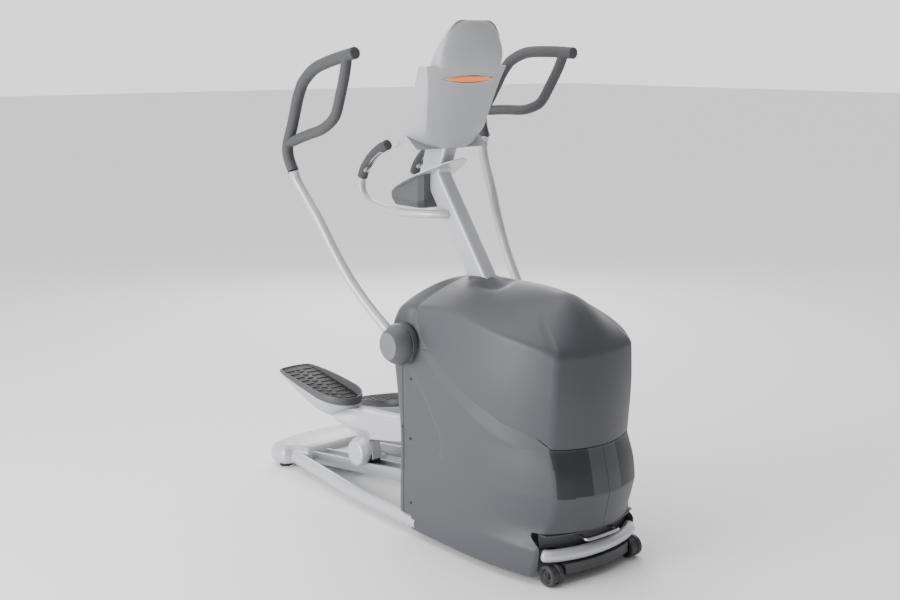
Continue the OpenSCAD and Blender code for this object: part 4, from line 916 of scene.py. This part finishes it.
# ---------- pedals ----------
# Each pedal is a silver shell bulging under the toe, a dark moulded tray with high walls set
# into it, and a ribbed rubber mat with a row of oval pads laid in the tray.
silver_plastic = finish("silver_plastic", (0.46, 0.465, 0.49), 0.42, grain=1400, bite=0.05, drift=0.03)
tray_plastic = finish("tray_plastic", (0.070, 0.071, 0.077), 0.48, grain=1000, bite=0.08, drift=0.04)
mat_rubber = finish("mat_rubber", (0.017, 0.017, 0.018), 0.62, grain=600, bite=0.20)
PEDAL_LEN, PEDAL_HALF = 0.437, 0.0945
PEDAL_TILT = 10.0
TOE = (0.101, 0.140)
toe_half = [(PEDAL_HALF * math.sin(math.radians(a)), PEDAL_HALF * 1.35 * (1 - math.cos(math.radians(a))))
            for a in range(0, 91, 10)]
heel_half = [(PEDAL_HALF * 0.995, 0.200), (PEDAL_HALF * 0.965, 0.290), (PEDAL_HALF * 0.90, 0.370),
             (PEDAL_HALF * 0.80, 0.416), (PEDAL_HALF * 0.60, 0.431), (PEDAL_HALF * 0.30, 0.436),
             (0.0, PEDAL_LEN)]
pedal_plan = rounded_plan(toe_half + heel_half, 3)


def pedal_ring(place, inset, height):
    """A loop round the pedal, drawn in by the inset, at a height that may change from toe to heel."""
    ring = []
    for x, t in drawn_in(pedal_plan, inset):
        ring.append(place(x, t, height(t)))
    return ring


def rim(toe, heel):
    """The height of an edge that falls from toe to heel."""
    return lambda t: through([(0.0, toe), (PEDAL_LEN * 0.55, (toe + heel) * 0.56), (PEDAL_LEN, heel)], t)


def belly(t):
    """The height of the shell's underside, deepest below the ball of the foot."""
    return through([(0.0, -0.038), (0.06, -0.048), (0.16, -0.046), (0.32, -0.026),
                    (PEDAL_LEN, -0.004)], t)


def rib_builder(name, material, count):
    """Geometry Nodes: rubber bars set across a strip of points, each scaled to the strip's width."""
    tree = bpy.data.node_groups.new(name, "GeometryNodeTree")
    new, link = tree.nodes.new, tree.links.new
    tree.interface.new_socket("Geometry", in_out="INPUT", socket_type="NodeSocketGeometry")
    for value in ("Bar depth", "Bar height", "Bar roll"):
        tree.interface.new_socket(value, in_out="INPUT", socket_type="NodeSocketFloat")
    tree.interface.new_socket("Geometry", in_out="OUTPUT", socket_type="NodeSocketGeometry")
    source = new("NodeGroupInput")
    result = new("NodeGroupOutput")
    size, turn_axis = new("ShaderNodeCombineXYZ"), new("ShaderNodeCombineXYZ")
    for key, target in (("bar_width", size), ("bar_lean", turn_axis)):
        given = new("GeometryNodeInputNamedAttribute")
        given.data_type = "FLOAT"
        given.inputs["Name"].default_value = key
        link(given.outputs["Attribute"], target.inputs["X"])
    link(source.outputs["Bar depth"], size.inputs["Y"])
    link(source.outputs["Bar height"], size.inputs["Z"])
    link(source.outputs["Bar roll"], turn_axis.inputs["Y"])
    if count == 4:
        bar = new("GeometryNodeMeshCube")
    else:
        bar = new("GeometryNodeMeshCylinder")
        bar.inputs["Vertices"].default_value = count
        bar.inputs["Radius"].default_value = 0.5
        bar.inputs["Depth"].default_value = 1.0
    spread = new("GeometryNodeInstanceOnPoints")
    link(source.outputs["Geometry"], spread.inputs["Points"])
    link(bar.outputs["Mesh"], spread.inputs["Instance"])
    link(turn_axis.outputs["Vector"], spread.inputs["Rotation"])
    link(size.outputs["Vector"], spread.inputs["Scale"])
    real = new("GeometryNodeRealizeInstances")
    link(spread.outputs["Instances"], real.inputs["Geometry"])
    skin_node = new("GeometryNodeSetMaterial")
    skin_node.inputs["Material"].default_value = material
    link(real.outputs["Geometry"], skin_node.inputs["Geometry"])
    link(skin_node.outputs["Geometry"], result.inputs["Geometry"])
    return tree


def grow(name, tree, spots, values, material):
    """A plain mesh grown by the tree on spots of (point, attributes)."""
    mesh = bpy.data.meshes.new(name)
    mesh.from_pydata([tuple(point) for point, _ in spots], [], [])
    for key in spots[0][1]:
        layer = mesh.attributes.new(key, "FLOAT", "POINT")
        for i, (_, facts) in enumerate(spots):
            layer.data[i].value = facts[key]
    piece = placed(name, mesh)
    maker = piece.modifiers.new("maker", "NODES")
    maker.node_group = tree
    for item in tree.interface.items_tree:
        if item.in_out == "INPUT" and item.name in values:
            maker[item.identifier] = values[item.name]
    evaluated(piece)
    if not piece.data.materials:
        piece.data.materials.append(material)
    for layer in [a.name for a in piece.data.attributes if a.name in spots[0][1]]:
        piece.data.attributes.remove(piece.data.attributes[layer])
    soften(piece, 35)
    return piece


oval_tree = rib_builder("mat_pads", mat_rubber, 20)
bar_tree = rib_builder("mat_bars", mat_rubber, 4)
for side, sign in (("right", -1), ("left", 1)):
    seat = Matrix.Translation((0, TOE[0], TOE[1])) @ Matrix.Rotation(math.radians(PEDAL_TILT), 4, "X")
    on_foot = foot_place[side]

    def on_pedal(x, t, z, seat=seat, on_foot=on_foot):
        """A place on the pedal, t running from toe to heel."""
        return on_foot(*(seat @ Vector((x, t, z))))

    rim_top = rim(0.014, 0.004)
    rings = []
    for k in range(9):
        a = math.radians(90 * k / 8)
        rings.append(pedal_ring(on_pedal, 0.034 * (1 - math.cos(a)),
                                lambda t, a=a: rim_top(t) + (belly(t) - rim_top(t)) * math.sin(a)))
    rings.append(pedal_ring(on_pedal, 0.060, lambda t: belly(t) - 0.0005))
    rings = [pedal_ring(on_pedal, inset, height) for inset, height in (
        (0.0035, lambda t: -0.002), (0.0032, lambda t: rim_top(t) - 0.001),
        (0.0012, lambda t: rim_top(t) + 0.0004))] + rings
    shell = assemble(side + "_pedal_under_shell", *skin(rings), silver_plastic, 50)
    fit(shell, side + "_foot", "silver_plastic", side + "_pedal_shell")

    wall_top = rim(0.044, 0.010)
    rings = [pedal_ring(on_pedal, inset, height) for inset, height in (
        (0.006, lambda t: 0.0002), (0.0036, lambda t: 0.0015),
        (0.0034, lambda t: rim_top(t) + 0.0010), (0.0006, lambda t: rim_top(t) + 0.0014),
        (0.0002, lambda t: rim_top(t) + 0.0035),
        (0.0030, lambda t: max(wall_top(t) - 0.003, rim_top(t) + 0.004)),
        (0.0052, wall_top), (0.0078, lambda t: wall_top(t) - 0.0006),
        (0.0092, lambda t: wall_top(t) - 0.003), (0.0098, lambda t: 0.008),
        (0.0125, lambda t: 0.0042))]
    tray = assemble(side + "_foot_tray", *skin(rings), tray_plastic, 50)
    fit(tray, side + "_foot", "dark_trim", side + "_pedal_tray")

    rings = [pedal_ring(on_pedal, inset, lambda t, height=height: height)
             for inset, height in ((0.0130, 0.0040), (0.0130, 0.0062), (0.0142, 0.0072))]
    mat = assemble(side + "_tread_mat", *skin(rings), mat_rubber, 50)
    fit(mat, side + "_foot", "black_rubber", side + "_pedal_mat")
    lean = math.radians(PEDAL_TILT) - foot_turn[side]
    spots, ovals = [], []
    for k in range(11):
        t = 0.050 + 0.034 * k
        reach = 0.5 * PEDAL_HALF * (1 - max(0.0, (0.11 - t) / 0.12) ** 1.5) * (1.0 if t < 0.36 else 0.93)
        for way in (-1, 1):
            spots.append((on_pedal(way * (0.020 + reach * 0.52), t, 0.0075),
                          {"bar_width": reach, "bar_lean": lean}))
        ovals.append((on_pedal(0.0, t + 0.017 if k < 10 else t, 0.0075),
                      {"bar_width": 0.024, "bar_lean": lean}))
    bars = grow(side + "_mat_bars", bar_tree, spots, {"Bar depth": 0.009, "Bar height": 0.004},
                mat_rubber)
    fit(bars, side + "_foot", "black_rubber")
    pads = grow(side + "_mat_pads", oval_tree, ovals, {"Bar depth": 0.015, "Bar height": 0.005},
                mat_rubber)
    fit(pads, side + "_foot", "black_rubber")


# ---------- mast and pulse bar ----------
# A rounded rectangular steel tube leans rearward out of the covers and bends forward again
# under the console. A thinner tube passes through it and curls up into two grips with pulse
# plates on their hollow side.
MAST_HALF_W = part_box("mast")[1][0] + 0.005      # a heavier tube than the frame's own
MAST_LEAN = math.radians(36.5)
MAST_FOOT = (0.464, 0.780)
MAST_HALF_D = 0.0415
lean_y, lean_z = math.sin(MAST_LEAN), math.cos(MAST_LEAN)


def along_mast(run, out):
    """A place in side view, run up the mast and out rearward from its middle line."""
    return (MAST_FOOT[0] + run * lean_y + out * lean_z, MAST_FOOT[1] + run * lean_z - out * lean_y)


def rounded_section(front, rear, half_w, radius):
    """A ring of a rounded rectangle standing between a front and a rear point of the side view."""
    (fy, fz), (ry, rz) = front, rear
    depth = math.hypot(ry - fy, rz - fz)
    ring = []
    for cx, cd, start in ((half_w - radius, depth - radius, 0), (-half_w + radius, depth - radius, 90),
                          (-half_w + radius, radius, 180), (half_w - radius, radius, 270)):
        for step in range(5):
            a = math.radians(start + 22.5 * step)
            d = (cd + radius * math.sin(a)) / depth
            ring.append(at(cx + radius * math.cos(a), fy + (ry - fy) * d, fz + (rz - fz) * d))
    return ring


bend_y, bend_z = along_mast(0.530, 0.0)
mast_edges = [*((along_mast(run, -MAST_HALF_D), along_mast(run, MAST_HALF_D))
                for run in (-0.02, 0.30, 0.50)),
              (along_mast(0.528, -MAST_HALF_D), (bend_y + 0.042, bend_z + 0.002)),
              ((bend_y - 0.039, bend_z + 0.032), (bend_y + 0.058, bend_z + 0.026)),
              ((bend_y - 0.051, bend_z + 0.060), (bend_y + 0.060, bend_z + 0.056)),
              ((bend_y - 0.068, 1.310), (bend_y + 0.044, 1.310)),
              ((bend_y - 0.060, 1.345), (bend_y + 0.020, 1.345))]
mast_tube = assemble("mast_tube", *skin([rounded_section(front, rear, MAST_HALF_W, 0.012)
                                         for front, rear in mast_edges]), silver_paint, 30)
fit(mast_tube, "root", "silver_paint", "mast")

boot_rings = []
for lift, width, depth_more in ((0.100, 0.014, 0.014), (0.124, 0.014, 0.014), (0.132, 0.011, 0.011),
                                (0.136, 0.004, 0.004), (0.136, 0.001, 0.001)):
    front = along_mast(lift, -MAST_HALF_D - depth_more)
    rear = along_mast(lift, MAST_HALF_D + depth_more)
    level = along_mast(lift, 0.0)[1] + 0.004
    boot_rings.append([Vector((p.x, p.y, level + (p.z - level) * 0.12)) for p in rounded_section(
        front, rear, MAST_HALF_W + width, 0.024)])
boot = assemble("mast_boot", *skin(boot_rings), cover_plastic, 40)
fit(boot, "root", "dark_trim")

BAR_R, PULSE_GRIP_R = 0.015, 0.0186
bar_y, bar_z = along_mast(0.384, 0.0)
bar_half = [(0.0, 0, 0), (0.020, 0, 0), (0.036, 6, 0), (0.054, 26, 0), (0.078, 70, -2), (0.100, 180, -5),
            (0.114, 310, 8), (0.119, 352, 26), (0.120, 382, 58), (0.120, 386, 92), (0.120, 380, 108)]


def on_bar(x, y, z):
    """A point of the pulse bar, y and z in millimetres from where it crosses the mast."""
    return at(x, bar_y + y / 1000, bar_z + z / 1000)


pulse_line = eased([on_bar(-x, y, z) for x, y, z in bar_half[::-1]]
                   + [on_bar(*p) for p in bar_half[1:]], 6)
pulse_bar = assemble("pulse_bar", *tube(pulse_line, BAR_R, 28), silver_paint, 50)
fit(pulse_bar, "root", "silver_paint", "fixed_handlebar")
grip_half = [(0.120, 380, 107), (0.120, 370, 128), (0.120, 356, 148), (0.120, 318, 184),
             (0.120, 270, 214), (0.120, 226, 231)]
for side, sign in (("right", -1), ("left", 1)):
    line = eased([on_bar(sign * x, y, z) for x, y, z in grip_half], 8)
    grip = assemble(side + "_pulse_grip", *tube(line, PULSE_GRIP_R, 32, (0.003, 0.004)), grip_foam, 50)
    fit(grip, "root", "grip_foam", "pulse_grips")


# ---------- tray and bottle holder ----------
# A thin leaf-shaped silver tray passes round the mast behind the console, and a dark moulded
# bottle pocket hangs from the opening in it.
TRAY_TILT = math.radians(22.4)
TRAY_T = 0.004
TRAY_REAR = (1.050, 1.115)
leaf_half = [(0.0, 0.0), (0.028, 0.022), (0.048, 0.060), (0.084, 0.130), (0.097, 0.200), (0.094, 0.260),
             (0.080, 0.310), (0.062, 0.370), (0.032, 0.420), (0.0, 0.439)]
leaf = rounded_plan(leaf_half, 4)


def on_tray(x, run, lift):
    """A point of the tray, run measured forward from its rear tip."""
    return at(x, TRAY_REAR[0] - run * math.cos(TRAY_TILT) + lift * math.sin(TRAY_TILT),
              TRAY_REAR[1] + run * math.sin(TRAY_TILT) + lift * math.cos(TRAY_TILT))


rings = [[on_tray(x, run, lift) for x, run in drawn_in(leaf, inset)]
         for lift, inset in ((0.0, 0.0012), (0.0010, 0.0), (TRAY_T - 0.001, 0.0), (TRAY_T, 0.0012))]
tray_leaf = assemble("tray_leaf", *skin(rings), silver_paint, 30)
pocket = [(-0.062, 0.850), (-0.050, 0.838), (0.050, 0.838), (0.062, 0.850), (0.062, 0.954),
          (0.050, 0.966), (-0.050, 0.966), (-0.062, 0.954)]
MAST_GAP = 0.0005
mast_way = skin([rounded_section(along_mast(run, -MAST_HALF_D - MAST_GAP),
                                 along_mast(run, MAST_HALF_D + MAST_GAP), MAST_HALF_W + MAST_GAP, 0.012)
                 for run in (0.10, 0.62)])
carve(tray_leaf, skin([[at(x, y, z) for x, y in pocket] for z in (1.05, 1.35)]), mast_way)
soften(tray_leaf, 30)
fit(tray_leaf, "root", "silver_paint", "tray_plate")

holder_plastic = finish("holder_plastic", (0.085, 0.087, 0.095), 0.46, grain=1100, bite=0.07, drift=0.04)
HOLDER_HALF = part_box("bottle_holder")[1][0]
HOLDER_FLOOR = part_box("bottle_holder")[0][2]


def under_tray(y):
    """The height just under the tray at that rearward place."""
    return TRAY_REAR[1] + (TRAY_REAR[0] - y) * math.tan(TRAY_TILT) - 0.0006


def holder_ring(half, front, rear, height, cut=0.016):
    """A loop with cut corners; a height of None runs up to the underside of the tray."""
    plan = [(-half, front + cut), (-half + cut, front), (half - cut, front), (half, front + cut),
            (half, rear - cut), (half - cut, rear), (-half + cut, rear), (-half, rear - cut)]
    return [at(x, y, under_tray(y) if height is None else height) for x, y in plan]


rings = [holder_ring(HOLDER_HALF - 0.016, 0.806, 0.956, HOLDER_FLOOR),
         holder_ring(HOLDER_HALF - 0.010, 0.801, 0.966, HOLDER_FLOOR + 0.003),
         holder_ring(HOLDER_HALF, 0.794, 0.973, HOLDER_FLOOR + 0.026),
         holder_ring(HOLDER_HALF, 0.791, 0.974, HOLDER_FLOOR + 0.033),
         holder_ring(HOLDER_HALF, 0.790, 0.974, None),
         holder_ring(HOLDER_HALF - 0.012, 0.826, 0.970, None),
         holder_ring(HOLDER_HALF - 0.012, 0.826, 0.968, HOLDER_FLOOR + 0.030),
         holder_ring(HOLDER_HALF - 0.016, 0.832, 0.958, HOLDER_FLOOR + 0.006)]
holder = assemble("bottle_pocket", *skin(rings), holder_plastic, 25)
fit(holder, "root", "dark_trim", "bottle_holder")


# ---------- console ----------
# Two silver mouldings: a shell with a domed hood that is open to the user, and a dark face
# plate with the screen and two buttons. An orange lens glows in a slot across the back.
screen_glass = finish("screen_glass", (0.012, 0.016, 0.020), 0.12, grain=40, bite=0.0, drift=0.2)
plate_plastic = finish("plate_plastic", (0.055, 0.057, 0.062), 0.45, grain=1000, bite=0.08)
green_key = finish("green_key", (0.05, 0.30, 0.12), 0.40, grain=500, bite=0.03)
red_key = finish("red_key", (0.45, 0.03, 0.03), 0.40, grain=500, bite=0.03)
orange_lens = finish("orange_lens", (0.95, 0.25, 0.07), 0.22, grain=60, bite=0.02, drift=0.10)
lens_shader = orange_lens.node_tree.nodes["Principled BSDF"]
lens_shader.inputs["Emission Color"].default_value = (1.0, 0.28, 0.10, 1)
lens_shader.inputs["Emission Strength"].default_value = 0.55
coat_node("console_front", plate_plastic, "dark_trim")
coat_node("display", screen_glass, "screen")
coat_node("start_button", green_key, "green_button")
coat_node("stop_button", red_key, "red_button")

# height, front centre, then half width and place of the front crease and of the rear edge
shell_rows = [
    (1.3155, 0.690, 0.070, 0.716, 0.160, 0.822), (1.322, 0.687, 0.088, 0.714, 0.164, 0.812),
    (1.335, 0.683, 0.101, 0.711, 0.166, 0.796), (1.356, 0.675, 0.114, 0.706, 0.167, 0.776),
    (1.383, 0.666, 0.127, 0.688, 0.167, 0.763), (1.420, 0.653, 0.134, 0.677, 0.168, 0.747),
    (1.457, 0.641, 0.141, 0.666, 0.169, 0.731), (1.496, 0.628, 0.148, 0.654, 0.170, 0.714),
    (1.534, 0.615, 0.156, 0.643, 0.170, 0.697), (1.565, 0.603, 0.165, 0.634, 0.172, 0.684),
    (1.582, 0.596, 0.171, 0.629, 0.1735, 0.676), (1.594, 0.590, 0.1735, 0.626, 0.174, 0.668)]
CONSOLE_WALL = 0.003
spans = []
for z, front, crease_x, crease_y, rear_x, rear_y in shell_rows:
    half = [(crease_x * u, front + (crease_y - front) * u ** 2.2) for u in (i / 10 for i in range(11))]
    lip = [(crease_x + (rear_x - crease_x) * u ** 0.8, crease_y + (rear_y - crease_y) * u)
           for u in (0.04, 0.12, 0.25, 0.5, 0.75, 1.0)]
    row = half + lip
    spans.append([at(-x, y, z) for x, y in row[::-1]] + [at(x, y, z) for x, y in row[1:]])
fine_spans = [eased(points, 3) for points in zip(*spans)]
console_shell = thin_shell("console_shell", *sheet_of(fine_spans, False), silver_plastic, CONSOLE_WALL)

LENS_Z, LENS_HALF, LENS_RISE = 1.551, 0.110, 0.0085


def pointed_oval(half, rise, y, count=16):
    """A loop of the lens's outline in the plane y, drawn from two shallow arcs."""
    steps = [2 * i / count - 1 for i in range(count + 1)]
    upper = [(half * u, rise * (1 - u ** 2)) for u in steps]
    lower = [(x, -dz) for x, dz in upper[-2:0:-1]]
    return [at(x, y, LENS_Z + dz) for x, dz in upper + lower]


carve(console_shell, skin([pointed_oval(LENS_HALF + 0.004, LENS_RISE + 0.004, y) for y in (0.55, 0.68)]))
soften(console_shell, 24)
fit(console_shell, "root", "silver_plastic", "console_back")
rings = [pointed_oval(LENS_HALF + 0.002, LENS_RISE + 0.002, 0.619),
         pointed_oval(LENS_HALF, LENS_RISE, 0.613),
         pointed_oval(LENS_HALF - 0.004, LENS_RISE - 0.0015, 0.6108)]
lens = assemble("orange_light_lens", *skin(rings), orange_lens, 40)
fit(lens, "root", "orange_lens", "light_lens")

# height, half width, front and rear of the hood
hood_rows = [
    (1.588, 0.1385, 0.588, 0.672), (1.601, 0.1390, 0.583, 0.664), (1.626, 0.1385, 0.577, 0.652),
    (1.647, 0.1350, 0.5745, 0.642), (1.658, 0.1310, 0.5735, 0.636), (1.671, 0.1255, 0.573, 0.630),
    (1.695, 0.1150, 0.573, 0.618), (1.712, 0.1040, 0.573, 0.610), (1.727, 0.0920, 0.574, 0.604),
    (1.737, 0.0800, 0.576, 0.600), (1.742, 0.0680, 0.579, 0.597), (1.744, 0.0560, 0.582, 0.593)]
rings = []
for z, half_w, front, rear in hood_rows:
    ring = []
    for a in full_turn(48):
        x = half_w * blunt(math.cos(a), 0.30)
        y = (front + rear) / 2 + (rear - front) / 2 * blunt(math.sin(a), 0.30)
        bow = 0.016 * (abs(x) / half_w) ** 2 if math.sin(a) < 0 else 0.0
        ring.append(at(x, min(y + bow, rear), z))
    rings.append(ring)
hood = assemble("console_hood", *skin(rings), silver_plastic, 28)
fit(hood, "root", "silver_plastic")

ledge = [[at(x, y, z) for x, y in ((-0.172, 0.632), (-0.130, 0.612), (0.130, 0.612), (0.172, 0.632),
                                   (0.173, 0.668), (0.120, 0.674), (-0.120, 0.674), (-0.173, 0.668))]
         for z in (1.588, 1.5935)]
floor_lip = slab([(0.700, 1.3165), (0.760, 1.3150), (0.820, 1.3150), (0.818, 1.3190), (0.776, 1.3590),
                  (0.768, 1.3620), (0.760, 1.3600)], -0.160, 0.160, at, 0.0015)
trim = assemble("console_ledges", *joined(skin(ledge), floor_lip), silver_plastic, 30)
fit(trim, "root", "silver_plastic")


# ---------- drive inside the covers ----------
# The crank turns a large grooved pulley; a belt drives the cast flywheel, which runs between
# two magnets. These pieces keep their shape from the frame.
pulley_plastic = finish("pulley_plastic", (0.05, 0.05, 0.055), 0.5, grain=500)
bronze = finish("bronze", (0.42, 0.26, 0.12), 0.38, metal=1.0, grain=500, bite=0.05)
magnet_grey = finish("magnet_grey", (0.16, 0.16, 0.17), 0.4, metal=0.6)
for node, material, slot in (
    ("drive_pulley", pulley_plastic, "pulley_plastic"),
    ("idler_pulley", pulley_plastic, "pulley_plastic"),
    ("flywheel", cast_wheel, "cast_wheel"), ("drive_belt", black_rubber, "black_rubber"),
    ("brake_magnets", magnet_grey, "bare_steel"), ("bearings", bronze, "bronze"),
):
    coat_node(node, material, slot)


# ---------- cover screws ----------
# Three black countersunk screws hold each flank near its rear seam.
screw_black = finish("screw_black", (0.02, 0.02, 0.022), 0.35, metal=0.6, grain=300)
screw_tree = rib_builder("screw_heads", screw_black, 20)
SCREW_Y = 0.600
heads = []
for height in (0.120, 0.350, 0.560):
    skin_x = wall(s_at(SCREW_Y, height), height).x
    for sign in (-1, 1):
        heads.append((at(sign * (skin_x + 0.0002), SCREW_Y, height),
                      {"bar_width": 0.010, "bar_lean": 0.0}))
screws = grow("cover_screw_heads", screw_tree, heads,
              {"Bar depth": 0.010, "Bar height": 0.0024, "Bar roll": math.pi / 2}, screw_black)
fit(screws, "root", "black_steel", "cover_screws")
